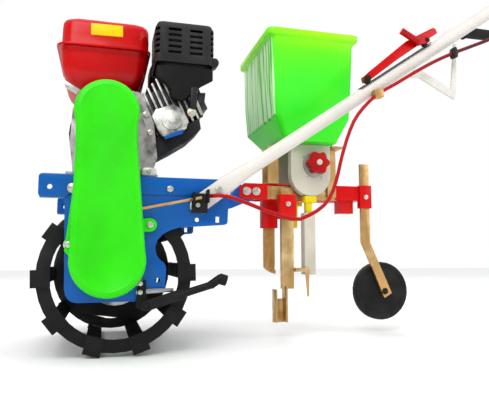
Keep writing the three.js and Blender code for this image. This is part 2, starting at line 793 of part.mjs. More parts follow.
// One tube: hammered flat where it bolts to the side plate, straight up to the bend, then level.
function handleTube(y) {
  const flatLean = Math.atan2(355 - 294, 262 - 180);
  const flat = [
    [168, 285, 4],
    [172, 288, 11],
    [180, 294, 16],
    [192, 303, FLAT_HALF_W],
    [245, 342, FLAT_HALF_W],
  ];
  const rings = flat.map(([x, z, half]) => ovalRing(x, y, z, flatLean, half, 2.9));
  rings.push(ovalRing(268, y, handleZ(268), Math.atan(HANDLE_SLOPE), 16, 9));
  const end = GRIP_REAR_X - 10;
  const outside = loft([...rings, ...tubeRun(y, TUBE_R, 290, end)]);
  return cut(outside, loft(tubeRun(y, TUBE_R - 1.8, 300, end + 2)));
}

function crossTube() {
  const x = 985;
  const inner = TUBE_Y - TUBE_R - GAP;
  return barY(x, handleZ(x), 11, -inner, inner, 20);
}

function grip(y) {
  const sleeve = new THREE.CylinderGeometry(17.5, 18.5, GRIP_REAR_X - GRIP_FRONT_X, 24);
  sleeve.rotateZ(-RIGHT_ANGLE).translate((GRIP_REAR_X + GRIP_FRONT_X) / 2, y, GRIP_Z);
  const flange = new THREE.CylinderGeometry(24, 24, 5, 24);
  flange.rotateZ(-RIGHT_ANGLE).translate(GRIP_FRONT_X + 2.5, y, GRIP_Z);
  const bore = new THREE.CylinderGeometry(TUBE_R + 0.7, TUBE_R + 0.7, 200, 24);
  bore.rotateZ(-RIGHT_ANGLE).translate(GRIP_REAR_X - 9 - 100, y, GRIP_Z);
  return cut(join(sleeve, flange), bore);
}

// The flat stay under the near tube that carries the cable clip.
function cableStay() {
  const y = [-TUBE_Y - 3, -TUBE_Y + 3];
  return plateY(
    shapeOf([
      [672, 600],
      [692, 603],
      [784, 558],
      [789, 575],
      [796, 692],
      [789, 692],
      [777, 582],
      [700, 619],
      [680, 619],
    ]),
    ...y,
  );
}

// The long red lever over the near tube, pinned at its lower front end.
const DRIVE_PIVOT = [559, 587];

function driveLever() {
  const y = [-TUBE_Y - 7, -TUBE_Y + 7];
  const arm = plateY(
    shapeOf([
      [553, 579],
      [567, 585],
      [634, 637],
      [710, 691],
      [742, 712],
      [738, 722],
      [731, 724],
      [700, 707],
      [660, 684],
      [562, 602],
      [550, 591],
    ]),
    ...y,
  );
  const eye = barY(...DRIVE_PIVOT, 8, ...y, 20);
  return cut(join(arm, eye), barY(...DRIVE_PIVOT, 4.6, y[0] - 1, y[1] + 1, 16));
}

const LATCH_PIVOT = [706, 687];

// The short latch grip on its link, swung over the long lever.
function latchLever() {
  const y = [-TUBE_Y - 20, -TUBE_Y - 12];
  const link = strapY(...LATCH_PIVOT, 684, 680, 7, ...y);
  const handle = barBetween([684, -TUBE_Y - 18, 680], [640, -TUBE_Y - 18, 702], 7.5, 16);
  const hole = barY(...LATCH_PIVOT, 4.6, y[0] - 1, y[1] + 1, 16);
  return cut(join(link, handle), hole);
}

// The strip on top of the tube that carries both levers on its cheeks.
function leverSaddle() {
  const y = -TUBE_Y;
  const top = (x) => handleZ(x) + TUBE_R * Math.hypot(1, HANDLE_SLOPE) + GAP;
  const strip = plateY(
    shapeOf([
      [542, top(542)],
      [722, top(722)],
      [722, top(722) + 2.5],
      [542, top(542) + 2.5],
    ]),
    y - 11.6,
    y + 6,
  );
  const cheek = (px, pz) => strapY(px, pz, px - 2, top(px - 2) + 7, 7, y - 11.6, y - 7 - GAP);
  const front = cheek(...DRIVE_PIVOT);
  const rear = cheek(...LATCH_PIVOT);
  const frontPin = barY(...DRIVE_PIVOT, 4, y - 11, y + 9, 16);
  const rearPin = barY(...LATCH_PIVOT, 4, y - 22, y - 10, 16);
  return join(strip, front, rear, frontPin, rearPin);
}

// The hand lever under the near grip that pulls the clutch cable.
const CLUTCH_PIVOT = [1128, 913];

function clutchLever() {
  const y = [-TUBE_Y - 4, -TUBE_Y + 4];
  return join(
    plateY(
      shapeOf([
        [1114, 904],
        [1134, 901],
        [1180, 888],
        [1268, 863],
        [1290, 862],
        [1294, 870],
        [1276, 877],
        [1182, 903],
        [1138, 920],
        [1120, 922],
      ]),
      ...y,
    ),
    barY(CLUTCH_PIVOT[0], CLUTCH_PIVOT[1], 5, y[0] - 7, y[1] + 7, 16),
  );
}

// The clamp on the tube that the hand lever is pinned to.
function clutchPerch() {
  const y = -TUBE_Y;
  const cheeks = [-1, 1].map((side) => {
    const inner = y + side * (4 + GAP);
    const span = side < 0 ? [inner - 4, inner] : [inner, inner + 4];
    return plateY(
      shapeOf([
        [1112, 904],
        [1140, 906],
        [1140, 936.5],
        [1124, 932.5],
        [1112, 926.5],
      ]),
      ...span,
    );
  });
  const bridge = block(1126, 1139, y - 8.3, y + 8.3, 926, 931);
  const pinRoom = barY(CLUTCH_PIVOT[0], CLUTCH_PIVOT[1], 6, y - 20, y + 20, 16);
  return cut(join(...cheeks, bridge), pinRoom);
}

// The clutch cable's whole run, from the bracket on the frame to the lever's perch.
const CABLE_POINTS = [
  [200.5, -240, 312],
  [232, -243, 313.2],
  [273.2, -245, 300.9],
  [315.5, -245, 285.5],
  [358.3, -245, 273],
  [384.2, -245, 267.7],
  [413.8, -245, 279.4],
  [437.8, -245, 293.9],
  [456.4, -245, 314.1],
  [472.4, -245, 351.5],
  [485.5, -245, 400.9],
  [503.9, -245, 455.6],
  [520.5, -245, 490.3],
  [546.3, -245, 521.9],
  [575, -245, 548],
  [623.5, -245, 577],
  [667.3, -245, 604.8],
  [722.7, -245, 636.8],
  [774, -245, 662.1],
  [826.5, -245, 684.8],
  [871.8, -244, 704.6],
  [935, -240, 745],
  [1010, -234, 806],
  [1068, -228, 866],
  [1108, -223.3, 902],
];

function clutchCable() {
  const curve = new THREE.CatmullRomCurve3(CABLE_POINTS.map((p) => new THREE.Vector3(...p)));
  return rope(curve, 4, 8, 60);
}

// ---------------------------------------------------------------- stand
const STAND_PIVOT = [83, 99];

function standBracket() {
  const y = [-PLATE_OUT_Y - GAP - 4, -PLATE_OUT_Y - GAP];
  const plate = plateY(
    shapeOf([
      [66.5, 147],
      [82, 147],
      [84, 114],
      [94, 106],
      [94, 92],
      [78, 88],
      [64, 96],
    ]),
    ...y,
  );
  return join(plate, barY(...STAND_PIVOT, 5, y[0] - 10, y[0] + 1, 16));
}

function kickStand() {
  const y = [-232, -222.6];
  const middle = (y[0] + y[1]) / 2;
  const eye = strapY(0, 0, 64, 20, 10, ...y);
  const leg = barBetween([52, middle, 16], [126, middle, 38], 7.5, 16);
  const bend = barBetween([124, middle, 37], [146, middle, 52], 8.5, 16);
  const foot = barBetween([142, middle, 50], [156, middle, 46], 11, 16);
  const body = join(eye, leg, bend, foot);
  return cut(body, barY(0, 0, 6, y[0] - 1, y[1] + 1, 16));
}

// ---------------------------------------------------------------- toolbar
function sleeve(x0, x1, y0, y1, z0, z1, wall) {
  return cut(
    block(x0, x1, y0, y1, z0, z1),
    block(x0 + wall, x1 - wall, y0 + wall, y1 - wall, z0 - 2, z1 + 2),
  );
}

// The red bar: a fork in front for the hitch tongue, sleeves for both openers and the press arm.
function toolbar() {
  const bar = block(378, 580, -BAR_HALF, BAR_HALF, BAR_BOTTOM, BAR_TOP);
  const cheek = shapeOf([
    [318, 338],
    [334, BAR_BOTTOM],
    [400, BAR_BOTTOM],
    [400, BAR_TOP],
    [330, BAR_TOP],
    [318, 360],
  ]);
  const near = plateY(cheek, -BAR_HALF - 4, -BAR_HALF + 0.1);
  const far = plateY(cheek, BAR_HALF - 0.1, BAR_HALF + 4);
  const rear = block(571, 637, -26, 26, 336, REAR_BLOCK_TOP);
  const stub = block(584, 624, -14, 14, 303.5, 337);
  const pressSleeve = sleeve(634.4, 666.6, -34.4, -17.6, 316.5, 375, 3.6);
  const pressWeb = block(632, 644, -20, 26, 336, REAR_BLOCK_TOP);
  const rearSleeve = sleeve(412, 453, -54, -30, 284, 343.5, 4.6);
  const rearWeb = block(425, 448, -31, -19, 333, 343);
  const frontSleeve = sleeve(389, 429, 18.6, 41.4, 265, 345, 5.2);
  const body = join(bar, near, far, rear, stub, pressWeb, rearWeb, pressSleeve, rearSleeve);
  return cut(
    join(body, frontSleeve),
    block(638, 663, -30.8, -21.2, 300, 400),
    block(394.2, 423.8, 23.8, 36.2, 250, 400),
    block(315, 377.5, -BAR_HALF, BAR_HALF, 320, 380),
    barY(336, 352, 4, -30, 30, 12),
    barY(360, 352, 4, -30, 30, 12),
  );
}

function frontOpener() {
  const y = [FRONT_OPENER_Y - 5.6, FRONT_OPENER_Y + 5.6];
  const outline = new THREE.Shape();
  outline.moveTo(394.8, 362);
  outline.lineTo(394.8, 166);
  outline.quadraticCurveTo(405, 154, 425, 149);
  outline.lineTo(426, 156);
  outline.quadraticCurveTo(420.5, 160, 423.2, 172);
  outline.lineTo(423.2, 362);
  return plateY(outline, ...y, 6);
}

function rearOpener() {
  const y = OPENER_Y;
  const shank = block(417.2, 447.8, y - 6.8, y + 6.8, 116, 360);
  // The boot is a folded channel. Its far web is cut lower than the two flanges.
  const cuttingFlange = block(399, 402.6, y - 15, y + 15, 38, 115);
  const rearFlange = block(424, 428.5, y - 15, y + 15, 38, 122);
  const web = block(399, 428.5, y + 11, y + 15, 36, 92);
  const near = PIPE_NEAR_Y - GAP - 4;
  const arm = block(446, 454, near, y, 157, 166);
  const strap = block(446, 480, near, near + 4, 157, 166);
  const guard = plateY(
    shapeOf([
      [470, 166],
      [475.5, 98],
      [479.5, 98],
      [480, 166],
    ]),
    near,
    near + 4,
  );
  return join(shank, cuttingFlange, rearFlange, web, arm, strap, guard);
}

// Seed runs down this pipe from the chute to the drop behind the opener.
function seedPipe() {
  return cut(
    block(471, 499, PIPE_NEAR_Y, PIPE_NEAR_Y + 26, 150, 299),
    block(474, 496, PIPE_NEAR_Y + 3, PIPE_NEAR_Y + 23, 145, 305),
  );
}

// The angled flat bar that the press wheel runs on.
function pressArm() {
  const y = [PRESS_ARM_Y - 4, PRESS_ARM_Y + 4];
  const front = PRESS_ARM_X - PRESS_ARM_HALF;
  const rear = PRESS_ARM_X + PRESS_ARM_HALF;
  const outline = shapeOf([
    [front, 431],
    [front, 229],
    [662, 176],
    [699, 88],
    [720, 100],
    [686, 177],
    [rear, 228],
    [rear, 431],
  ]);
  return cut(plateY(outline, ...y), barY(PRESS_X, PRESS_Z, 8.6, y[0] - 1, y[1] + 1, 20));
}

// A narrow rubber press wheel with its axle stub, centred on its axis.
function pressWheel() {
  const far = PRESS_NEAR_Y + PRESS_W;
  const profile = [
    [0, PRESS_NEAR_Y + 4],
    [22, PRESS_NEAR_Y + 2.5],
    [PRESS_R - 14, PRESS_NEAR_Y + 8],
    [PRESS_R - 4, PRESS_NEAR_Y],
    [PRESS_R, PRESS_NEAR_Y + 8],
    [PRESS_R, far - 8],
    [PRESS_R - 4, far],
    [PRESS_R - 14, far - 8],
    [22, far - 2],
    [0, far - 4],
  ];
  const points = profile.map(([r, y]) => new THREE.Vector2(r, y));
  const tyre = new THREE.LatheGeometry(points, 30);
  return join(tyre, barY(0, 0, 8, PRESS_ARM_Y - 3.7, PRESS_NEAR_Y + 6, 16));
}

// ---------------------------------------------------------------- hopper and metering
function hopper() {
  const outer = loft([
    levelRing(414, 548, -95, 95, BOX_TOP + GAP, 12),
    levelRing(410, 551, -97, 97, BOX_TOP + 8, 14),
    levelRing(376, 566, -130, 130, 520, 16),
    levelRing(370, 571, -132, 132, 590, 16),
    levelRing(367, 577, -134, 134, 706, 16),
    levelRing(358, 587, -141, 141, 711, 16),
    levelRing(357, 589, -142, 142, 725, 16),
  ]);
  const inner = loft([
    levelRing(418, 544, -91, 91, BOX_TOP + 5, 9),
    levelRing(414, 547, -93, 93, BOX_TOP + 11, 11),
    levelRing(379.5, 562.5, -126.5, 126.5, 522, 13),
    levelRing(373.5, 567.5, -128.5, 128.5, 590, 13),
    levelRing(370.5, 573.5, -130.5, 130.5, 707, 13),
    levelRing(362, 584, -137, 137, 714, 13),
    levelRing(362, 584, -137, 137, 730, 13),
  ]);
  const outlets = [-1, 1].map((side) => {
    const y = side * ((BOX_IN_Y + BOX_OUT_Y) / 2);
    return block(BOX_X - 30, BOX_X + 40, y - 7.5, y + 7.5, BOX_TOP - 4, BOX_TOP + 12);
  });
  return cut(outer, inner, ...outlets);
}

// One metering box: open to the hopper above, with a spout underneath and room for the roller.
function meteringBox(side) {
  const span = side < 0 ? [-BOX_OUT_Y, -BOX_IN_Y] : [BOX_IN_Y, BOX_OUT_Y];
  const outline = (wall, top) => {
    const shape = new THREE.Shape();
    shape.moveTo(BOX_X - BOX_HALF + wall, top);
    shape.lineTo(BOX_X - BOX_HALF + wall, BOX_ROUND_Z);
    shape.absarc(BOX_X, BOX_ROUND_Z, BOX_HALF - wall, Math.PI, 2 * Math.PI, false);
    shape.lineTo(BOX_X + BOX_HALF - wall, top);
    return shape;
  };
  const body = plateY(outline(0, BOX_TOP), ...span, 8);
  const room = plateY(outline(4, BOX_TOP + 2), span[0] + 4, span[1] - 4, 8);
  const spout = block(CHUTE_X - 11, CHUTE_X + 8, span[0] + 6, span[1] - 6, 330, 365);
  const bore = barY(ROLLER_X, ROLLER_Z, 9, span[0] - 2, span[1] + 2, 20);
  return cut(body, room, spout, bore);
}

function chute(side) {
  const y = side * ((BOX_IN_Y + BOX_OUT_Y) / 2);
  const boxBottom = BOX_ROUND_Z - BOX_HALF - GAP;
  const low = levelRing(CHUTE_X - 8, CHUTE_X + 8, y - 7, y + 7, 268, 4);
  const mid = levelRing(CHUTE_X - 8.5, CHUTE_X + 9, y - 8, y + 8, boxBottom - 16, 4);
  const collar = levelRing(CHUTE_X - 13, CHUTE_X + 20, y - 12, y + 12, boxBottom - 15, 5);
  const top = levelRing(CHUTE_X - 13, CHUTE_X + 20, y - 12, y + 12, boxBottom, 5);
  const bore = block(CHUTE_X - 5.5, CHUTE_X + 5.5, y - 5, y + 5, 260, 350);
  return cut(loft([low, mid, collar, top]), bore);
}

// The fluted feed roller on its shaft, through both metering boxes.
function meteringRoller() {
  const flute = (y0, y1) => {
    const shape = new THREE.Shape();
    const flutes = 8;
    for (let i = 0; i < flutes; i++) {
      const angle = (2 * Math.PI * i) / flutes;
      const tip = [ROLLER_R * Math.cos(angle - 0.2), ROLLER_R * Math.sin(angle - 0.2)];
      const far = [ROLLER_R * Math.cos(angle + 0.2), ROLLER_R * Math.sin(angle + 0.2)];
      const root = angle + Math.PI / flutes;
      if (i === 0) shape.moveTo(...tip);
      else shape.lineTo(...tip);
      shape.lineTo(...far);
      shape.lineTo(13 * Math.cos(root), 13 * Math.sin(root));
    }
    return plateY(shape, y0, y1);
  };
  const inner = BOX_IN_Y + 5;
  const outer = BOX_OUT_Y - 5;
  return join(flute(-outer, -inner), flute(inner, outer), barY(0, 0, 7, -92, 66, 16));
}

// The six-lobed red knob that sets the feed.
function meteringKnob() {
  const shape = new THREE.Shape();
  const lobes = 6;
  const steps = 36;
  for (let i = 0; i < steps; i++) {
    const angle = (2 * Math.PI * i) / steps;
    const r = 25.5 + 3.2 * Math.cos(lobes * angle);
    if (i === 0) shape.moveTo(r, 0);
    else shape.lineTo(r * Math.cos(angle), r * Math.sin(angle));
  }
  const wheel = plateY(shape, -88, -70);
  const collar = barY(0, 0, 22, -71, -64, 24);
  return cut(join(wheel, collar), barY(0, 0, 7.5, -100, -60, 16));
}

function hopperStrut(x0, x1, flangeX0, flangeX1, legBottom) {
  const y = [-BAR_HALF - 4.3 - 5, -BAR_HALF - 4.3];
  const leg = block(x0, x1, ...y, legBottom, BOX_TOP - 1);
  const flange = block(flangeX0, flangeX1, -60, BAR_HALF, BOX_TOP - 5, BOX_TOP);
  const farLeg = block(x0, x1, BAR_HALF - 3, BAR_HALF, BAR_TOP + GAP, BOX_TOP - 1);
  const foot = block(x0, x1, y[0], BAR_HALF, BAR_TOP + GAP, BAR_TOP + 5);
  return join(leg, flange, farLeg, foot);
}

// ---------------------------------------------------------------- the whole machine
add("near_side_plate", sidePlate(-1), BLUE_PAINT);
add("far_side_plate", sidePlate(1), BLUE_PAINT);
add("engine_deck", engineDeck(), BLUE_PAINT);
add("hitch_member", hitchMember(), BLUE_PAINT);

const axlePlace = [AXLE_X, 0, AXLE_Z];
add("cage_near_half", cageHalf(-1), BLACK_PAINT, axlePlace);
add("cage_far_half", cageHalf(1), BLACK_PAINT, axlePlace);
add("wheel_spider", wheelSpider(), BLACK_PAINT, axlePlace);
add("wheel_axle", barY(0, 0, AXLE_R, -108, 236), STEEL, axlePlace);
const bearing = cut(
  barY(AXLE_X, AXLE_Z, 36, PLATE_OUT_Y + GAP, 231, 28),
  barY(AXLE_X, AXLE_Z, AXLE_R + 1, 210, 240),
);
add("axle_bearing", bearing, CAST_ALLOY);

add("gearbox_housing", gearbox(), CAST_ALLOY);
add("driven_pulley", pulley(DRIVEN_PULLEY_R, 9, -180), STEEL, [INPUT_X, 0, INPUT_Z]);
add("drive_pulley", pulley(DRIVE_PULLEY_R, 10, -150), STEEL, [CRANK_X, 0, CRANK_Z]);
add("drive_belt", driveBelt(), BLACK_RUBBER);
add("belt_cover", beltCover(), GREEN_PLASTIC);
add("cover_back_plate", coverBackPlate(), GREEN_PLASTIC);
add("idler_arm", idlerArm(), ZINC);
add("idler_pulley", idlerPulley(), STEEL, [IDLER_X, 0, IDLER_Z]);
add("clutch_rod", clutchRod(), ZINC);
add("cable_bracket", cableBracket(), BLACK_PAINT);
add("clutch_cable", clutchCable(), RED_PAINT);

add("engine_crankcase", crankcase(), CAST_ALLOY);
add("engine_cylinder", engineCylinder(), CAST_ALLOY);
add("cylinder_side_cover", cylinderSideCover(), CAST_ALLOY);
add("fuel_tank", fuelTank(), RED_PAINT);
const cap = cut(barZ(0, 0, 27, 0, 20, 24), barZ(0, 0, 20.8, -2, 6, 24));
add("fuel_cap", cap, BLACK_PLASTIC, [-5, 15, TANK_LEVELS[TANK_LEVELS.length - 1][4] + GAP]);
add("muffler_body", mufflerBody(), BLACK_PAINT);
add("muffler_guard", mufflerGuard(), BLACK_PAINT);
add("fan_housing", fanHousing(), RED_PAINT);
add("air_cleaner", airCleaner(), BLACK_PLASTIC);
add("carburettor", carburettor(), CAST_ALLOY);
const recoil = join(
  block(-44, -10, 72, 90, 496, 508),
  block(-31, -23, 66 + GAP, 76, 498, 506),
);
add("recoil_handle", recoil, BLACK_PLASTIC);
add("throttle_lever", throttleLever(), BLACK_PLASTIC, [50, 0, 500]);

add("near_handle_tube", handleTube(-TUBE_Y), WHITE_PAINT);
add("far_handle_tube", handleTube(TUBE_Y), WHITE_PAINT);
add("handle_cross_tube", crossTube(), WHITE_PAINT);
add("near_grip", grip(-TUBE_Y), BLACK_RUBBER);
add("far_grip", grip(TUBE_Y), BLACK_RUBBER);
add("cable_stay", cableStay(), WHITE_PAINT);
add("lever_saddle", leverSaddle(), BLACK_PAINT);
add("drive_lever", driveLever(), RED_PAINT);
add("latch_lever", latchLever(), RED_PAINT);
add("clutch_perch", clutchPerch(), BLACK_PAINT);
add("clutch_lever", clutchLever(), BLACK_PAINT);

add("stand_bracket", standBracket(), BLACK_PAINT);
add("kick_stand", kickStand(), BLACK_PAINT, [STAND_PIVOT[0], 0, STAND_PIVOT[1]]);

add("toolbar", toolbar(), RED_PAINT);
add("front_opener", frontOpener(), ZINC);
add("rear_opener", rearOpener(), ZINC);
add("seed_pipe", seedPipe(), PALE_PLASTIC);
add("press_arm", pressArm(), ZINC);
add("press_wheel", pressWheel(), BLACK_RUBBER, [PRESS_X, 0, PRESS_Z]);

add("hopper", hopper(), GREEN_PLASTIC);
add("near_metering_box", meteringBox(-1), PALE_PLASTIC);
add("far_metering_box", meteringBox(1), PALE_PLASTIC);
add("near_chute", chute(-1), YELLOW_PLASTIC);
add("far_chute", chute(1), YELLOW_PLASTIC);
add("metering_roller", meteringRoller(), PALE_PLASTIC, [ROLLER_X, 0, ROLLER_Z]);
add("metering_knob", meteringKnob(), RED_PAINT, [ROLLER_X, 0, ROLLER_Z]);
add("front_strut", hopperStrut(389, 417, 406, 436, BAR_TOP + GAP), ZINC);
add("rear_strut", hopperStrut(547, 570.5, 547, 578, 341), ZINC);

// The reference point is the middle of the box that the machine stands in, on the ground.
seeder.updateMatrixWorld(true);
const extent = new THREE.Box3().setFromObject(seeder, true);
const middle = extent.getCenter(new THREE.Vector3());
seeder.position.set(-middle.x, -middle.y, -extent.min.z);

export default seeder;
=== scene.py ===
import json
import math

import bpy
from mathutils import Matrix, Vector

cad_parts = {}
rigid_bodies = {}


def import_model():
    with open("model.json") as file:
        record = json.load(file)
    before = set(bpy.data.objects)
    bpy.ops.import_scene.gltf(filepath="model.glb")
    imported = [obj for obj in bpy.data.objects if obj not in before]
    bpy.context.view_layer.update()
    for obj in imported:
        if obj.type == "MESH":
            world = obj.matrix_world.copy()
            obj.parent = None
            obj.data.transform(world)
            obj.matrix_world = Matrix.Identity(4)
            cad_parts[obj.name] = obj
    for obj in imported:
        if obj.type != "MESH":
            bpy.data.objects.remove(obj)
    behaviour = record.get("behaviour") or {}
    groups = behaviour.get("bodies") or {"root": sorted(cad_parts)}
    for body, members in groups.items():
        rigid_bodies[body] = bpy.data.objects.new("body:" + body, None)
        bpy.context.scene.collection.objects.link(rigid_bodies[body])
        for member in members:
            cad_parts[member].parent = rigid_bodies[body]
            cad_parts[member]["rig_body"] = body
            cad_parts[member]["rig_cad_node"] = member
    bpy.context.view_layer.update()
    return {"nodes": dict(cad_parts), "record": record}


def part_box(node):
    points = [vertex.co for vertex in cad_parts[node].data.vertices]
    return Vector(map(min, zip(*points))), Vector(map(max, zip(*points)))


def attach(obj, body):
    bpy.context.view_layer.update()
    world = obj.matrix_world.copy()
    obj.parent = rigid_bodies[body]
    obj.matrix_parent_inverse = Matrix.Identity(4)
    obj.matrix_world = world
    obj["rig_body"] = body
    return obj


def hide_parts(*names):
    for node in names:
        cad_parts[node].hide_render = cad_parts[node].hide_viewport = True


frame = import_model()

# ---- Side plates, deck and hitch -------------------------------------------------------------
# Two pressed steel plates carry everything: a folded rail along the top of each, a deck plate
# bolted between them and a channel behind with the tongue for the toolbar. Glossy blue enamel.

# Places on the machine are given in millimetres: X from 26 mm ahead of the wheel's axle,
# Y from the machine's middle line, Z from the ground.
axle_low, axle_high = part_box("wheel_axle")
plate_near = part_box("near_side_plate")[0].y
plate_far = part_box("far_side_plate")[1].y
DATUM = Vector(((axle_low.x + axle_high.x) / 2 - 0.026, (plate_near + plate_far) / 2, 0))


def at(x, y, z):
    return DATUM + Vector((x, y, z)) / 1000


def only(piece):
    bpy.ops.object.select_all(action="DESELECT")
    piece.select_set(True)
    bpy.context.view_layer.objects.active = piece


def settle(piece, name, body, material):
    """The piece's place goes into its mesh, and it is named, painted and put on its body."""
    only(piece)
    bpy.ops.object.transform_apply(location=True, rotation=True, scale=True)
    piece.name = name
    piece.data.name = name
    piece.data.materials.clear()
    piece.data.materials.append(material)
    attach(piece, body)
    return piece


def dressed(node, material, edge=0.6, angle=30, rounds=2, slot=None):
    """The CAD node's own shape with its triangles merged, its edges eased and its curves smooth.
    Its slot is worked out, the record's unless another is given, but nothing uses it."""
    source = frame["nodes"][node]
    body = source["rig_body"]
    listed = {row["node"]: row["material_slot"] for row in frame["record"]["subparts"]}
    slot = slot or listed[node]
    only(source)
    bpy.ops.object.duplicate()
    piece = bpy.context.view_layer.objects.active
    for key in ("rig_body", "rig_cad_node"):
        del piece[key]
    piece.parent = None
    piece.matrix_world = Matrix.Identity(4)
    bpy.ops.object.mode_set(mode="EDIT")
    bpy.ops.mesh.select_all(action="SELECT")
    bpy.ops.mesh.remove_doubles(threshold=1e-5)
    bpy.ops.mesh.dissolve_limited(angle_limit=math.radians(1))
    bpy.ops.object.mode_set(mode="OBJECT")
    if edge:
        ease = piece.modifiers.new("eased", "BEVEL")
        ease.width = edge / 1000
        ease.segments = rounds
        ease.limit_method = "ANGLE"
        ease.angle_limit = math.radians(40)
        bpy.ops.object.modifier_apply(modifier=ease.name)
    bpy.ops.object.shade_smooth_by_angle(angle=math.radians(angle))
    settle(piece, node + "_finished", body, material)
    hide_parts(node)
    return piece


def new_material(name, color, roughness, metallic=0.0):
    material = bpy.data.materials.new(name)
    material.use_nodes = True
    shader = material.node_tree.nodes["Principled BSDF"]
    shader.inputs["Base Color"].default_value = (*color, 1)
    shader.inputs["Roughness"].default_value = roughness
    shader.inputs["Metallic"].default_value = metallic
    shader.inputs["Specular IOR Level"].default_value = 0.5 if metallic else 0.16
    return material, material.node_tree, shader


def speckle(tree, scale, detail=4.0, stretch=(1, 1, 1)):
    """Noise over the object's own coordinates."""
    place = tree.nodes.new("ShaderNodeTexCoord")
    turn = tree.nodes.new("ShaderNodeMapping")
    turn.inputs["Scale"].default_value = stretch
    noise = tree.nodes.new("ShaderNodeTexNoise")
    noise.inputs["Scale"].default_value = scale
    noise.inputs["Detail"].default_value = detail
    tree.links.new(place.outputs["Object"], turn.inputs["Vector"])
    tree.links.new(turn.outputs["Vector"], noise.inputs["Vector"])
    return noise.outputs["Fac"]


def ramp(tree, factor, stops):
    """Colours or greys along a factor."""
    band = tree.nodes.new("ShaderNodeValToRGB")
    while len(band.color_ramp.elements) < len(stops):
        band.color_ramp.elements.new(0.5)
    for element, (place, shade) in zip(band.color_ramp.elements, stops):
        element.position = place
        element.color = (*shade, 1) if len(shade) == 3 else shade
    tree.links.new(factor, band.inputs["Fac"])
    return band.outputs["Color"]


def grey(value):
    return (value, value, value)


def blended(tree, factor, first, second):
    mix = tree.nodes.new("ShaderNodeMix")
    mix.data_type = "RGBA"
    tree.links.new(factor, mix.inputs["Factor"])
    tree.links.new(first, mix.inputs["A"])
    tree.links.new(second, mix.inputs["B"])
    return mix.outputs["Result"]


def uneven_gloss(tree, shader, roughness, scale, detail, below, above, top=0.8):
    """Roughness that wanders from a little below its value to a little above."""
    stops = [(0.3, grey(roughness - below)), (top, grey(roughness + above))]
    tree.links.new(ramp(tree, speckle(tree, scale, detail), stops), shader.inputs["Roughness"])


def scaled(color, factor):
    return tuple(min(1, c * factor) for c in color)


def raise_grain(tree, shader, height, strength, distance):
    bump = tree.nodes.new("ShaderNodeBump")
    bump.inputs["Strength"].default_value = strength
    bump.inputs["Distance"].default_value = distance
    tree.links.new(height, bump.inputs["Height"])
    tree.links.new(bump.outputs["Normal"], shader.inputs["Normal"])


BARE_METAL = (0.30, 0.29, 0.28)


def enamel(name, color, roughness, wear, coat):
    """Sprayed enamel: a slight change of depth, orange peel, and a few chips down to the metal."""
    material, tree, shader = new_material(name, color, roughness)
    shades = [(0.3, scaled(color, 0.86)), (0.5, color), (0.72, scaled(color, 1.08))]
    paint = ramp(tree, speckle(tree, 9), shades)
    chips = ramp(tree, speckle(tree, 95, 8), [(wear, grey(0)), (wear + 0.02, grey(1))])
    metal = ramp(tree, speckle(tree, 200), [(0.3, BARE_METAL), (0.8, scaled(BARE_METAL, 0.6))])
    tree.links.new(blended(tree, chips, paint, metal), shader.inputs["Base Color"])
    uneven_gloss(tree, shader, roughness, 22, 6, 0.06, 0.16, 0.75)
    shader.inputs["Coat Weight"].default_value = coat
    shader.inputs["Coat Roughness"].default_value = 0.12
    raise_grain(tree, shader, speckle(tree, 420, 2), 0.05, 0.0002)
    return material


BLUE = enamel("blue_enamel", (0.0, 0.088, 0.37), 0.32, 0.74, 0.1)
for plate in ("near_side_plate", "far_side_plate", "engine_deck", "hitch_member"):
    dressed(plate, BLUE, edge=0.7)


def plated(name, color, tint, roughness=0.3):
    """Zinc plate: a soft change between two tints, with drawn-metal grain."""
    material, tree, shader = new_material(name, color, roughness, 0.85)
    tints = [(0.3, color), (0.55, scaled(color, 0.8)), (0.75, tint)]
    tree.links.new(ramp(tree, speckle(tree, 13, 3), tints), shader.inputs["Base Color"])
    uneven_gloss(tree, shader, roughness, 90, 6, 0.08, 0.2)
    raise_grain(tree, shader, speckle(tree, 700, 2, (1, 1, 0.06)), 0.15, 0.0003)
    return material


BOLT_ZINC = plated("bolt_zinc", (0.62, 0.60, 0.56), (0.70, 0.62, 0.42))


def hex_bolt(name, place, out, body, across=13, washer=True, stub=0):
    """A chamfered hexagon on a washer, with the shank's end standing out of it if asked."""
    bpy.ops.object.select_all(action="DESELECT")
    turn = Vector((0, 0, 1)).rotation_difference(Vector(out)).to_euler()
    made = []
    head_r = across / math.sqrt(3) / 1000
    bpy.ops.mesh.primitive_cylinder_add(
        vertices=6, radius=head_r, depth=across * 0.5 / 1000, location=(0, 0, across * 0.36 / 1000)
    )
    head = bpy.context.object
    bpy.ops.object.mode_set(mode="EDIT")
    bpy.ops.mesh.select_all(action="SELECT")
    bpy.ops.mesh.bevel(offset=across * 0.05 / 1000, segments=2, affect="EDGES")
    bpy.ops.object.mode_set(mode="OBJECT")
    made.append(head)
    if washer:
        bpy.ops.mesh.primitive_cylinder_add(
            vertices=28, radius=across * 0.86 / 1000, depth=0.0018, location=(0, 0, 0.0009)
        )
        ring = bpy.context.object
        bpy.ops.object.mode_set(mode="EDIT")
        bpy.ops.mesh.select_all(action="SELECT")
        bpy.ops.mesh.bevel(offset=0.0004, segments=2, affect="EDGES")
        bpy.ops.object.mode_set(mode="OBJECT")
        made.append(ring)
    if stub:
        bpy.ops.mesh.primitive_cylinder_add(
            vertices=20,
            radius=across * 0.3 / 1000,
            depth=stub / 1000,
            location=(0, 0, (across * 0.6 + stub / 2) / 1000),
        )
        made.append(bpy.context.object)
    for part in made:
        part.select_set(True)
    bpy.context.view_layer.objects.active = head
    bpy.ops.object.join()
    piece = bpy.context.object
    bpy.ops.object.shade_smooth_by_angle(angle=math.radians(35))
    piece.rotation_euler = turn
    piece.location = place
    return settle(piece, name, body, BOLT_ZINC)


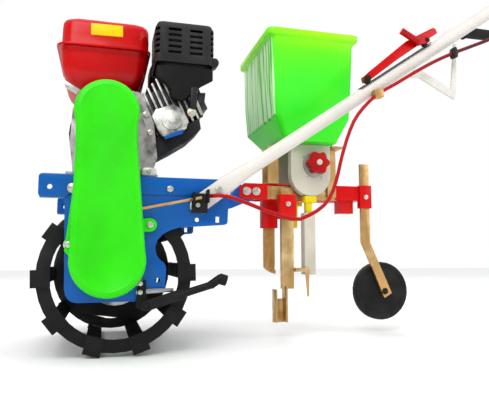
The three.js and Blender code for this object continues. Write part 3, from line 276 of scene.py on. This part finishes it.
def slab(name, outline, y0, y1, material, edge=0.6):
    """A flat piece cut to an outline of X, Z points in mm, its corners and rims eased."""
    bpy.ops.object.select_all(action="DESELECT")
    bpy.ops.mesh.primitive_circle_add(vertices=len(outline), radius=1, fill_type="NGON")
    piece = bpy.context.object
    for corner, (x, z) in zip(piece.data.vertices, outline):
        corner.co = at(x, y0, z)
    bpy.ops.object.mode_set(mode="EDIT")
    bpy.ops.mesh.select_all(action="SELECT")
    bpy.ops.mesh.extrude_region_move(TRANSFORM_OT_translate={"value": (0, (y1 - y0) / 1000, 0)})
    bpy.ops.mesh.select_all(action="SELECT")
    bpy.ops.mesh.normals_make_consistent(inside=False)
    bpy.ops.mesh.bevel(offset=edge / 1000, segments=2, affect="EDGES")
    bpy.ops.object.mode_set(mode="OBJECT")
    bpy.ops.object.shade_smooth_by_angle(angle=math.radians(35))
    settle(piece, name, "chassis", material)


NEAR = (0, -1, 0)
FAR = (0, 1, 0)
for i, (x, z) in enumerate([(126, 326), (-40, 326), (215, 333)]):
    hex_bolt(f"rail_bolt_near_{i}", at(x, -220, z), NEAR, "chassis", 12)
    hex_bolt(f"rail_bolt_far_{i}", at(x, 220, z), FAR, "chassis", 12)
for i, (x, z) in enumerate([(30, 236), (-22, 170), (62, 150)]):
    hex_bolt(f"bearing_bolt_{i}", at(x, 217, z), FAR, "chassis", 12)

# ---- Cage wheel ------------------------------------------------------------------------------
# Two flat hoops joined by ten angle-iron lugs, with a square plate and a hub on the far side.
# Welded mild steel in satin black, rubbed down to the metal in small spots.


def worn_black(name, tone=0.009, roughness=0.5):
    """Thin black paint, uneven in depth, rubbed down to dull steel in small spots."""
    material, tree, shader = new_material(name, grey(tone), roughness)
    tones = [(0.3, grey(tone * 0.6)), (0.55, grey(tone)), (0.8, grey(tone * 2.4))]
    soot_and_painted_shade = ramp(tree, speckle(tree, 14, 6), tones)
    rubs = ramp(tree, speckle(tree, 75, 8), [(0.74, grey(0)), (0.80, grey(1))])
    steel = ramp(tree, speckle(tree, 160), [(0.3, (0.06, 0.05, 0.04)), (0.8, (0.16, 0.15, 0.14))])
    tree.links.new(blended(tree, rubs, soot_and_painted_shade, steel), shader.inputs["Base Color"])
    uneven_gloss(tree, shader, roughness, 30, 5, 0.14, 0.2)
    raise_grain(tree, shader, speckle(tree, 260, 4), 0.25, 0.0005)
    return material


BLACK = worn_black("wheel_black")
for half in ("cage_near_half", "cage_far_half"):
    dressed(half, BLACK, edge=0.6)
dressed("wheel_spider", BLACK, edge=0.8)

TURNED_GREY = (0.42, 0.43, 0.44)
STEEL, tree, shader = new_material("turned_steel", TURNED_GREY, 0.34, 1.0)
shade = ramp(tree, speckle(tree, 40, 6), [(0.3, scaled(TURNED_GREY, 0.7)), (0.7, TURNED_GREY)])
tree.links.new(shade, shader.inputs["Base Color"])
uneven_gloss(tree, shader, 0.34, 120, 6, 0.1, 0.2)
raise_grain(tree, shader, speckle(tree, 600, 2, (1, 0.08, 1)), 0.1, 0.0003)
dressed("wheel_axle", STEEL, edge=1.0)

# ---- Gearbox, far bearing and belt drive -----------------------------------------------------
# The cast gearbox sits inside the wheel and turns its axle. Outside the near plate a V belt runs
# from the engine's pulley to the gearbox's, tightened by a roller on a swinging arm.


def along(tree, axis):
    """The object's own coordinate along X, Y or Z."""
    place = tree.nodes.new("ShaderNodeTexCoord")
    parts = tree.nodes.new("ShaderNodeSeparateXYZ")
    tree.links.new(place.outputs["Object"], parts.inputs["Vector"])
    return parts.outputs[axis]


def ranged(tree, value, low, high):
    """0 below low, 1 above high, even between."""
    span = tree.nodes.new("ShaderNodeMapRange")
    span.inputs["From Min"].default_value = low
    span.inputs["From Max"].default_value = high
    tree.links.new(value, span.inputs["Value"])
    return span.outputs["Result"]


def cast(name, color, roughness, lit_to=None, painted_shade_from=None):
    """Sand-blasted die-cast alloy with oil in its low places. Given two distances from the middle
    line, it is lit out to the belt side and goes dark with painted shade further in."""
    material, tree, shader = new_material(name, color, roughness, 0.55)
    film = ramp(
        tree,
        speckle(tree, 26, 7),
        [(0.36, scaled(color, 0.16)), (0.48, scaled(color, 0.62)), (0.62, color)],
    )
    # Painted shade: the colour goes near black from the first distance to the second, further in
    # from the belt side, where the engine's recesses lie in shadow.
    if lit_to:
        depth = ranged(tree, along(tree, "Y"), at(0, lit_to, 0).y, at(0, painted_shade_from, 0).y)
        soot_and_painted_shade = ramp(tree, speckle(tree, 60, 5), [(0.3, grey(0.012)), (0.8, grey(0.05))])
        film = blended(tree, depth, film, soot_and_painted_shade)
    tree.links.new(film, shader.inputs["Base Color"])
    uneven_gloss(tree, shader, roughness, 60, 6, 0.12, 0.2)
    raise_grain(tree, shader, speckle(tree, 520, 6), 0.35, 0.0006)
    return material


ALLOY = cast("die_cast_alloy", (0.50, 0.50, 0.49), 0.46)
dressed("gearbox_housing", ALLOY, edge=3.0, rounds=3)
dressed("axle_bearing", ALLOY, edge=1.5)
BEARING_SCREWS_R = 26
for i in range(4):
    angle = math.radians(45 + 90 * i)
    x = 26 + BEARING_SCREWS_R * math.cos(angle)
    z = axle_low.z * 1000 + 12 + BEARING_SCREWS_R * math.sin(angle)
    hex_bolt(f"bearing_screw_{i}", at(x, 231, z), FAR, "chassis", 8, washer=False)

for pulley in ("driven_pulley", "drive_pulley", "idler_pulley"):
    dressed(pulley, STEEL, edge=0.6)
ZINC = plated("yellow_zinc", (0.60, 0.36, 0.135), (0.74, 0.58, 0.30), 0.36)
dressed("idler_arm", ZINC, edge=0.4)


def rubber(name, roughness, grain):
    tone = 0.010
    material, tree, shader = new_material(name, grey(tone), roughness)
    bloom = ramp(tree, speckle(tree, 18, 6), [(0.3, grey(tone * 0.6)), (0.75, grey(tone * 2.2))])
    tree.links.new(bloom, shader.inputs["Base Color"])
    uneven_gloss(tree, shader, roughness, 50, 5, 0.12, 0.15)
    raise_grain(tree, shader, speckle(tree, grain, 4), 0.3, 0.0006)
    return material


RUBBER = rubber("black_rubber", 0.72, 300)
dressed("drive_belt", RUBBER, edge=0.4)

# ---- Belt cover ------------------------------------------------------------------------------
# A deep-drawn steel cover with a rolled front edge and a raised line round its face, open at the
# back and screwed through ears on a flat plate. Bright green enamel.
cover_low, cover_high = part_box("belt_cover")
GREEN = enamel("green_enamel", (0.028, 0.64, 0.003), 0.3, 0.80, 0.05)

COVER_TOP = at(1.5, 0, 463)
COVER_BOTTOM = at(9.5, 0, 186)
COVER_TOP_R = 0.058
COVER_BOTTOM_R = 0.067
COVER_CORNERS = 96
SHEET = 0.0022
bpy.ops.object.select_all(action="DESELECT")
bpy.ops.mesh.primitive_circle_add(
    vertices=COVER_CORNERS,
    radius=1,
    fill_type="NGON",
    location=(0, cover_low.y, 0),
    rotation=(math.pi / 2, 0, 0),
)
cover = bpy.context.object
bpy.ops.object.transform_apply(location=True, rotation=True, scale=True)
for corner in cover.data.vertices:
    upper = corner.co.z > 0.05
    centre = COVER_TOP if upper else COVER_BOTTOM
    r = COVER_TOP_R if upper else COVER_BOTTOM_R
    corner.co.x = centre.x + r * corner.co.x
    corner.co.z = centre.z + r * corner.co.z
# Height in metres and half width in millimetres, from under the top circle down to the low one.
COVER_WAIST = [
    (0.4565, 57.6),
    (0.449, 56.3),
    (0.441, 54.4),
    (0.43, 53.9),
    (0.398, 54),
    (0.35, 56.7),
    (0.30, 59.5),
    (0.25, 62.3),
    (0.205, 64.8),
]
LEAN_FROM = 0.441
LEAN_SPAN = 0.255
bpy.ops.object.mode_set(mode="EDIT")
bpy.ops.mesh.select_all(action="SELECT")
bpy.ops.mesh.normals_make_consistent(inside=False)
for height, half_width in COVER_WAIST:
    bpy.ops.mesh.select_all(action="SELECT")
    bpy.ops.mesh.bisect(plane_co=(0, 0, height), plane_no=(0, 0, 1))
bpy.ops.object.mode_set(mode="OBJECT")
for corner in cover.data.vertices:
    for height, half_width in COVER_WAIST:
        if abs(corner.co.z - height) < 0.0002:
            lean = (LEAN_FROM - height) / LEAN_SPAN
            middle = COVER_TOP.x + (COVER_BOTTOM.x - COVER_TOP.x) * max(0, lean)
            side = 1 if corner.co.x > middle else -1
            corner.co.x = middle + side * half_width / 1000
bpy.ops.object.mode_set(mode="EDIT")
bpy.ops.mesh.select_all(action="SELECT")
bpy.ops.mesh.dissolve_limited(angle_limit=math.radians(0.2))
bpy.ops.mesh.select_all(action="SELECT")
bpy.ops.mesh.extrude_region_move(
    TRANSFORM_OT_translate={"value": (0, cover_high.y - cover_low.y, 0)}
)
bpy.ops.object.mode_set(mode="OBJECT")
for flat in cover.data.polygons:
    flat.select = False
for edge in cover.data.edges:
    ends = [cover.data.vertices[i].co.y for i in edge.vertices]
    edge.select = all(abs(y - cover_low.y) < 1e-4 for y in ends)
bpy.ops.object.mode_set(mode="EDIT")
bpy.ops.mesh.select_mode(type="EDGE")
bpy.ops.mesh.bevel(offset=0.0075, segments=5, affect="EDGES", clamp_overlap=False)
bpy.ops.mesh.select_mode(type="FACE")
bpy.ops.object.mode_set(mode="OBJECT")
for flat in cover.data.polygons:
    flat.select = abs(flat.normal.y) > 0.99 and flat.center.y < cover_low.y + 0.001
bpy.ops.object.mode_set(mode="EDIT")
bpy.ops.mesh.inset(thickness=0.0018, depth=0.0008)
bpy.ops.mesh.inset(thickness=0.0016, depth=-0.0016)
bpy.ops.mesh.select_all(action="SELECT")
bpy.ops.mesh.normals_make_consistent(inside=False)
bpy.ops.object.mode_set(mode="OBJECT")
for flat in cover.data.polygons:
    flat.select = abs(flat.normal.y) > 0.99 and flat.center.y > cover_high.y - 0.001
bpy.ops.object.mode_set(mode="EDIT")
bpy.ops.mesh.delete(type="FACE")
bpy.ops.object.mode_set(mode="OBJECT")
wall = cover.modifiers.new("wall", "SOLIDIFY")
wall.thickness = SHEET
wall.offset = -1
bpy.ops.object.modifier_apply(modifier=wall.name)
bpy.ops.object.shade_smooth_by_angle(angle=math.radians(50))
settle(cover, "belt_cover_shell", "chassis", GREEN)
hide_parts("belt_cover")
dressed("cover_back_plate", GREEN, edge=0.8)
hex_bolt("cover_ear_bolt_rear", at(88, -224, 254), NEAR, "chassis", 12)
hex_bolt("cover_ear_bolt_front", at(-62, -224, 215), NEAR, "chassis", 12)
hex_bolt("cover_ear_bolt_top", at(-59, -224, 322), NEAR, "chassis", 11)

dressed("clutch_rod", ZINC, edge=0.3)
dressed("cable_bracket", BLACK, edge=0.6)

# ---- Engine ----------------------------------------------------------------------------------
# A small petrol engine with its shaft level and its cylinder leaning up to the rear: alloy
# castings, a red pressed tank on top, a black slotted guard over the muffler.
# The castings below are darkened with painted shade further in from the belt side.
CASE_ALLOY = cast("crankcase_alloy", (0.50, 0.47, 0.46), 0.45, -172, -158)
dressed("engine_crankcase", CASE_ALLOY, edge=3.0, rounds=3)
FIN_ALLOY = cast("fin_alloy", (0.74, 0.73, 0.70), 0.4, -147.2, -141)
dressed("engine_cylinder", FIN_ALLOY, edge=0.9)
PALE_ALLOY = cast("bright_alloy", (0.80, 0.79, 0.74), 0.34, -166, -158)
dressed("cylinder_side_cover", PALE_ALLOY, edge=2.2, rounds=3)
dressed("carburettor", ALLOY, edge=1.5)

RED = enamel("red_enamel", (0.52, 0.0, 0.001), 0.24, 0.82, 0.15)


def raised(levels, corner, steps):
    """A closed shell drawn up from a round-cornered face, each level being x0, x1, y0, y1, z."""
    x0, x1, y0, y1, z = levels[0]
    low, high = at(x0, y0, z), at(x1, y1, z)
    bpy.ops.object.select_all(action="DESELECT")
    bpy.ops.mesh.primitive_plane_add(size=1, location=(low + high) / 2)
    piece = bpy.context.object
    piece.scale = (high.x - low.x, high.y - low.y, 1)
    bpy.ops.object.transform_apply(location=True, rotation=True, scale=True)
    bpy.ops.object.mode_set(mode="EDIT")
    bpy.ops.mesh.select_all(action="SELECT")
    bpy.ops.mesh.bevel(offset=corner / 1000, segments=steps, affect="VERTICES")
    for before, after in zip(levels, levels[1:]):
        bpy.ops.mesh.extrude_region_move(
            TRANSFORM_OT_translate={"value": (0, 0, (after[4] - before[4]) / 1000)}
        )
        middle = at((before[0] + before[1]) / 2, (before[2] + before[3]) / 2, after[4])
        grown = (
            (after[1] - after[0]) / (before[1] - before[0]),
            (after[3] - after[2]) / (before[3] - before[2]),
            1,
        )
        bpy.ops.transform.resize(value=grown, center_override=middle)
        shift = (
            (after[0] + after[1] - before[0] - before[1]) / 2000,
            (after[2] + after[3] - before[2] - before[3]) / 2000,
            0,
        )
        bpy.ops.transform.translate(value=shift)
    bpy.ops.mesh.select_all(action="SELECT")
    bpy.ops.mesh.normals_make_consistent(inside=False)
    bpy.ops.object.mode_set(mode="OBJECT")
    return piece


TANK_LEVELS = [
    (-46, 50, -66, 86, 552),
    (-56, 55, -76, 96, 553.5),
    (-66, 60, -84, 104, 558),
    (-77, 67, -91, 111, 567),
    (-86, 74, -97, 117, 578),
    (-93, 80, -102, 122, 592),
    (-97, 84, -104, 124, 606),
    (-99, 88, -106, 126, 630),
    (-99, 89, -106, 126, 644),
    (-100, 90, -107, 127, 645.5),
    (-108.5, 92.5, -116.5, 136.5, 646),
    (-109, 93, -117, 137, 648.5),
    (-108.5, 92.5, -116.5, 136.5, 651),
    (-100, 90, -107, 127, 651.6),
    (-99, 89, -106, 126, 654),
    (-98.5, 89, -105.5, 125.5, 675),
    (-98, 89, -105, 125, 694),
    (-97, 88, -104, 124, 703),
    (-94, 85, -101, 121, 709),
    (-88, 79, -95, 115, 712.8),
    (-79, 70, -86, 106, 714),
]
tank = raised(TANK_LEVELS, corner=17, steps=7)
only(tank)
bpy.ops.object.shade_smooth_by_angle(angle=math.radians(38))
settle(tank, "fuel_tank_shell", "chassis", RED)
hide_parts("fuel_tank")


def moulded(name, color, roughness=0.5, grain=500, strength=0.2):
    """Moulded plastic with a fine spark-eroded grain."""
    material, tree, shader = new_material(name, color, roughness)
    shades = [(0.3, scaled(color, 0.8)), (0.7, scaled(color, 1.1))]
    tree.links.new(ramp(tree, speckle(tree, 12, 5), shades), shader.inputs["Base Color"])
    uneven_gloss(tree, shader, roughness, 70, 5, 0.1, 0.14)
    raise_grain(tree, shader, speckle(tree, grain, 3), strength, 0.0004)
    return material


BLACK_PLASTIC = moulded("black_plastic", grey(0.015))
dressed("fuel_cap", BLACK_PLASTIC, edge=1.5, rounds=3)
dressed("air_cleaner", BLACK_PLASTIC, edge=4.0, rounds=3)
dressed("recoil_handle", BLACK_PLASTIC, edge=2.0, rounds=3)
dressed("throttle_lever", BLACK_PLASTIC, edge=0.6)

GUARD_BLACK = worn_black("guard_black", 0.022, 0.46)
dressed("fan_housing", GUARD_BLACK, edge=4.0, rounds=3, slot="black_paint")
MUFFLER_BLACK = worn_black("muffler_black", 0.006, 0.6)
dressed("muffler_guard", GUARD_BLACK, edge=0.5)
dressed("muffler_body", MUFFLER_BLACK, edge=2.0, rounds=3)

SHROUD_BLACK = worn_black("shroud_black", 0.012, 0.55)
slab(
    "engine_lower_shroud",
    [(99, 441), (104, 400), (140, 421), (175, 444), (198, 467), (194, 490), (158, 468)],
    -158, -70, SHROUD_BLACK,
)
slab(
    "cover_blue_strip",
    [(116.7, 441.3), (118.2, 434.9), (155.8, 449.4), (157.1, 458.6), (137.5, 451.1)],
    -178.5, -176, BLUE, edge=0.4,
)
PLUG_BLACK = moulded("plug_black", grey(0.018), 0.42)
slab(
    "spark_plug_boot",
    [(174, 556), (188, 557), (188.5, 530), (186.4, 509.3), (173.4, 503), (172.4, 530)],
    -166, -154, PLUG_BLACK, edge=3.0,
)
hex_bolt("spark_plug_nut", at(176.5, -166, 500.3), NEAR, "chassis", 11)
slab(
    "crankcase_foot",
    [(72, 357), (102, 357), (104, 362), (103, 370), (98, 374), (76, 374), (70, 368)],
    -180, -168, PALE_ALLOY, edge=2.0,
)
hex_bolt("crankcase_foot_bolt", at(87, -180, 366), NEAR, "chassis", 10)
hex_bolt("crankcase_bolt_high", at(78.8, -174.3, 486.3), NEAR, "chassis", 11)
hex_bolt("crankcase_bolt_low", at(88.3, -174.3, 448.6), NEAR, "chassis", 11)
slab(
    "muffler_bracket",
    [(192.4, 551.5), (210.4, 553), (204.8, 498), (190, 491)],
    -142, -139, PALE_ALLOY,
)
slab(
    "tank_bracket",
    [(-90.9, 572.3), (-55.6, 552.8), (-63.6, 543.2), (-87.6, 556.2)],
    -93, -90, BOLT_ZINC,
)
LABEL_YELLOW = moulded("label_yellow", (0.86, 0.60, 0.004), 0.4, 300, 0.05)
slab(
    "tank_label",
    [(-38, 700.6), (30, 701.6), (30.5, 676), (-37.6, 674.5)],
    -107, -105.2, LABEL_YELLOW, edge=0.2,
)

# ---- Handle and its levers -------------------------------------------------------------------
# Two white tubes, hammered flat at the side plates and bolted there, bend level into rubber grips.
# The near one carries a long red lever with a short latch, and the clutch lever under its grip.
WHITE = enamel("white_enamel", (0.66, 0.63, 0.585), 0.34, 0.78, 0.1)
for tube in ("near_handle_tube", "far_handle_tube"):
    dressed(tube, WHITE, edge=0, angle=60)
dressed("handle_cross_tube", WHITE, edge=0.8, angle=40)
dressed("cable_stay", WHITE, edge=0.6)
for side in ("near", "far"):
    dressed(f"{side}_grip", RUBBER, edge=1.5, rounds=3)
dressed("lever_saddle", BLACK, edge=0.5)
dressed("drive_lever", RED, edge=3.0, rounds=4)
DARK_RED = enamel("latch_red", (0.40, 0.0, 0.002), 0.28, 0.85, 0.1)
dressed("latch_lever", DARK_RED, edge=2.5, rounds=3)
dressed("clutch_perch", BLACK, edge=0.5)
dressed("clutch_lever", BLACK, edge=1.8, rounds=3)
for side, out in (("near", NEAR), ("far", FAR)):
    y = 226.4 * out[1]
    hex_bolt(f"handle_bolt_{side}_low", at(180, y, 294), out, "chassis", 15, stub=4)
    hex_bolt(f"handle_bolt_{side}_high", at(224, y, 326), out, "chassis", 15, stub=4)

# ---- Clutch cable ----------------------------------------------------------------------------
# A Bowden cable in a red plastic sleeve, from the bracket on the frame to the lever's perch,
# with a clamp by the near tube and a clip by the stay. Painted shade darkens it towards the grips.
CABLE_RED, tree, shader = new_material("cable_red", (0.34, 0.002, 0.005), 0.36)
# Painted shade: the red darkens to near black from 640 to 820 mm, towards the grips.
reach = ranged(tree, along(tree, "X"), at(640, 0, 0).x, at(820, 0, 0).x)
painted_shade_reds = [(0.0, (0.40, 0.002, 0.006)), (0.5, (0.24, 0.002, 0.008)), (1.0, (0.10, 0.002, 0.006))]
red_with_painted_shade = ramp(tree, reach, painted_shade_reds)
smear = ramp(tree, speckle(tree, 30, 5), [(0.5, grey(0)), (0.9, grey(0.5))])
dust = ramp(tree, speckle(tree, 8), [(0.3, (0.10, 0.01, 0.01)), (0.8, (0.2, 0.02, 0.02))])
tree.links.new(blended(tree, smear, red_with_painted_shade, dust), shader.inputs["Base Color"])
dressed("clutch_cable", CABLE_RED, edge=0, angle=75)

slab(
    "cable_clamp",
    [(564, 556), (586, 560), (588, 541), (567, 537)],
    -252, -232, ZINC, edge=2.0,
)
slab(
    "cable_clip",
    [(768, 672), (776, 676), (782, 664), (780, 650), (770, 648), (766, 660)],
    -252, -236, PLUG_BLACK, edge=2.5,
)

# ---- Side stand ------------------------------------------------------------------------------
# A round steel leg with a turned-up foot, swung up under the frame. It turns on a bracket bolted
# to the near plate, with a flat spring strip beside it.
dressed("stand_bracket", BLACK, edge=0.6)
dressed("kick_stand", BLACK, edge=0.8)
STAND_FACE = -221.3
for i, (x, z) in enumerate([(71.5, 141.0), (71.5, 124.4)]):
    hex_bolt(f"stand_bolt_{i}", at(x, STAND_FACE, z), NEAR, "chassis", 9)
slab(
    "stand_spring_strip",
    [(82.0, 130.8), (135.6, 131.9), (135.7, 124.3), (82.2, 121.4)],
    STAND_FACE, STAND_FACE + 2, STEEL,
)

# ---- Toolbar, openers and press wheel --------------------------------------------------------
# A red square bar forked over the hitch tongue, with sleeves that clamp two openers and the
# press wheel's flat arm. The openers, the arm and the hopper's struts are yellow zinc.
TOOLBAR_RED = enamel("toolbar_red", (0.62, 0.001, 0.001), 0.32, 0.74, 0.1)
dressed("toolbar", TOOLBAR_RED, edge=1.2, rounds=3)
for part in ("front_opener", "rear_opener", "press_arm", "front_strut", "rear_strut"):
    dressed(part, ZINC, edge=0.8)
slab(
    "bar_slotted_strip",
    [(389, 367), (389, 334), (573, 334), (573, 367)],
    -24, -20.4, ZINC, edge=0.5,
)
for i, (x, z) in enumerate([(336, 352), (360, 352)]):
    hex_bolt(f"fork_bolt_near_{i}", at(x, -30, z), NEAR, "chassis", 12)
hex_bolt("front_sleeve_bolt", at(432, -54, 320), NEAR, "chassis", 12)
hex_bolt("rear_sleeve_bolt", at(650, -34.4, 345), NEAR, "chassis", 12)
PALE_PLASTIC = moulded("pale_plastic", (0.58, 0.54, 0.45), 0.42)
dressed("seed_pipe", PALE_PLASTIC, edge=2.0, rounds=3)
TYRE = rubber("press_tyre", 0.66, 220)
dressed("press_wheel", TYRE, edge=1.0, angle=35)

# ---- Hopper and metering ---------------------------------------------------------------------
# A moulded hopper, thin enough to let light through, stands over two pale metering boxes with a
# fluted roller and a red star knob. Yellow spouts drop the seed.
HOPPER_GREEN, tree, shader = new_material("hopper_green", (0.04, 0.70, 0.01), 0.3)


def sum_of(tree, first, second, operation="ADD"):
    """Two values joined by a sum, or by the operation named; a plain number may be one of them."""
    total = tree.nodes.new("ShaderNodeMath")
    total.operation = operation
    for socket, value in zip(total.inputs, (first, second)):
        if isinstance(value, float):
            socket.default_value = value
        else:
            tree.links.new(value, socket)
    return total.outputs["Value"]


back_to_front = along(tree, "X")
height = along(tree, "Z")
# Painted light: the green gets lighter and yellower towards the top, as if lit from above.
painted_top_light_greens = [
    (0.0, (0.02, 0.74, 0.01)),
    (0.5, (0.045, 0.84, 0.03)),
    (0.8, (0.12, 0.90, 0.012)),
    (1.0, (0.36, 0.94, 0.006)),
]
green_with_painted_top_light = ramp(tree, ranged(tree, height, 0.50, 0.72), painted_top_light_greens)
cloud = ramp(tree, speckle(tree, 9, 4), [(0.3, (0.015, 0.80, 0.03)), (0.7, (0.17, 0.92, 0.01))])
cloudy = ramp(tree, speckle(tree, 4, 2), [(0.35, grey(0.0)), (0.75, grey(0.55))])
side_green = blended(tree, cloudy, green_with_painted_top_light, cloud)
# Painted highlights and shade: pale and darker vertical stripes stand for the ribs of the front
# face, and the ribs low on the front are painted darker still.
rib_highlight_and_shade_colours = [
    (0.40, (0.12, 0.62, 0.06)),
    (0.47, (0.50, 0.94, 0.40)),
    (0.53, (0.80, 1.0, 0.70)),
    (0.62, (0.42, 0.90, 0.30)),
]
painted_rib_stripes = ramp(tree, speckle(tree, 1.0, 3, (1, 95, 4)), rib_highlight_and_shade_colours)
low_rib_shade_colours = [
    (0.42, (0.008, 0.26, 0.004)),
    (0.5, (0.03, 0.66, 0.01)),
    (0.6, (0.12, 0.78, 0.04)),
]
painted_low_rib_stripes = ramp(tree, speckle(tree, 1.0, 3, (1, 80, 4)), low_rib_shade_colours)
front = blended(tree, ranged(tree, height, 0.518, 0.524), painted_low_rib_stripes, painted_rib_stripes)
FRONT_SLOPE = 0.0484
lean = sum_of(tree, back_to_front, sum_of(tree, height, FRONT_SLOPE, "MULTIPLY"))
behind = ranged(tree, lean, DATUM.x + 0.403, DATUM.x + 0.405)
rim = ranged(tree, height, 0.704, 0.706)
plain = sum_of(tree, behind, rim, "MAXIMUM")
tree.links.new(blended(tree, plain, front, side_green), shader.inputs["Base Color"])
shader.inputs["Subsurface Weight"].default_value = 0.2
shader.inputs["Subsurface Radius"].default_value = (0.01, 0.03, 0.005)
shader.inputs["Coat Weight"].default_value = 0.1
raise_grain(tree, shader, speckle(tree, 260, 3), 0.1, 0.0004)
dressed("hopper", HOPPER_GREEN, edge=1.2, rounds=3)
for side in ("near", "far"):
    dressed(f"{side}_metering_box", PALE_PLASTIC, edge=1.5, rounds=3)
YELLOW = moulded("yellow_plastic", (0.74, 0.60, 0.004), 0.4)
for side in ("near", "far"):
    dressed(f"{side}_chute", YELLOW, edge=0.8)
dressed("metering_roller", PALE_PLASTIC, edge=0.5)
BOSS_R = 31
boss_ring = []
for i in range(36):
    angle = math.radians(10 * i)
    boss_ring.append((499 + BOSS_R * math.cos(angle), 418 + BOSS_R * math.sin(angle)))
BOSS_GREY = plated("boss_grey", (0.34, 0.32, 0.29), (0.44, 0.41, 0.35), 0.4)
slab("metering_boss_plate", boss_ring, -65.5, -62.2, BOSS_GREY)
hex_bolt("knob_centre_bolt", at(501, -88, 420), NEAR, "feed_knob", 9, washer=False)
for i, (x, z) in enumerate([(470, 438), (533, 442), (483, 385), (519, 386)]):
    hex_bolt(f"metering_screw_{i}", at(x, -62, z), NEAR, "chassis", 6, washer=False)
KNOB_RED = moulded("knob_red", (0.42, 0.004, 0.006), 0.34)
dressed("metering_knob", KNOB_RED, edge=2.0, rounds=4)

# ---- Floor, light and camera -----------------------------------------------------------------
# A pale studio floor under a white sky, soft light from above, both sides and behind, and the
# camera low on the belt side.
bpy.ops.object.select_all(action="DESELECT")
bpy.ops.mesh.primitive_plane_add(size=14, location=(0, 0, -0.0005))
floor = bpy.context.object
floor.name = "studio_floor"
FLOOR, tree, shader = new_material("pale_floor", (0.92, 0.92, 0.92), 0.75)
dust = ramp(tree, speckle(tree, 3), [(0.3, grey(0.90)), (0.7, grey(0.94))])
tree.links.new(dust, shader.inputs["Base Color"])
floor.data.materials.append(FLOOR)

world = bpy.context.scene.world or bpy.data.worlds.new("studio")
bpy.context.scene.world = world
world.use_nodes = True
glow = world.node_tree.nodes["Background"]
glow.inputs["Color"].default_value = (1, 1, 1, 1)
ray = world.node_tree.nodes.new("ShaderNodeLightPath")
seen = world.node_tree.nodes.new("ShaderNodeMapRange")
SKY_LIGHT = 0.56
SKY_SEEN = 1.0
seen.inputs["To Min"].default_value = SKY_LIGHT
seen.inputs["To Max"].default_value = SKY_SEEN
world.node_tree.links.new(ray.outputs["Is Camera Ray"], seen.inputs["Value"])
world.node_tree.links.new(seen.outputs["Result"], glow.inputs["Strength"])
bpy.context.scene.view_settings.view_transform = "Standard"


def soft_light(name, place, watts):
    """A square lamp two metres wide, turned to the middle of the machine."""
    data = bpy.data.lights.new(name, "AREA")
    data.shape = "SQUARE"
    data.size = 2.0
    data.energy = watts
    lamp = bpy.data.objects.new(name, data)
    bpy.context.scene.collection.objects.link(lamp)
    lamp.location = place
    ray_down = Vector((0, 0, 0.4)) - Vector(place)
    lamp.rotation_euler = ray_down.to_track_quat("-Z", "Y").to_euler()


overhead = bpy.data.lights.new("overhead_light", "SUN")
overhead.energy = 1.3
overhead.angle = 1.2
ceiling = bpy.data.objects.new("overhead_light", overhead)
bpy.context.scene.collection.objects.link(ceiling)
ceiling.rotation_euler = (0.12, 0, 0)
soft_light("key_light", (-1.6, -2.4, 2.6), 62)
soft_light("fill_light", (2.4, -2.0, 1.6), 24)
soft_light("back_light", (0.4, 2.6, 2.4), 30)

eye = bpy.data.cameras.new("eye")
eye.sensor_width = 36
eye.lens = 39.3129
eye.clip_start = 0.05
camera = bpy.data.objects.new("eye", eye)
bpy.context.scene.collection.objects.link(camera)
EYE_PLACE = at(0, -1275, 191.6)
right = Vector((0.9668, -0.2554, 0.0)).normalized()
ahead = Vector((0.2540, 0.9613, 0.1063)).normalized()
up = right.cross(ahead)
camera.matrix_world = Matrix(
    (
        (right.x, up.x, -ahead.x, EYE_PLACE.x),
        (right.y, up.y, -ahead.y, EYE_PLACE.y),
        (right.z, up.z, -ahead.z, EYE_PLACE.z),
        (0, 0, 0, 1),
    )
)
bpy.context.scene.camera = camera
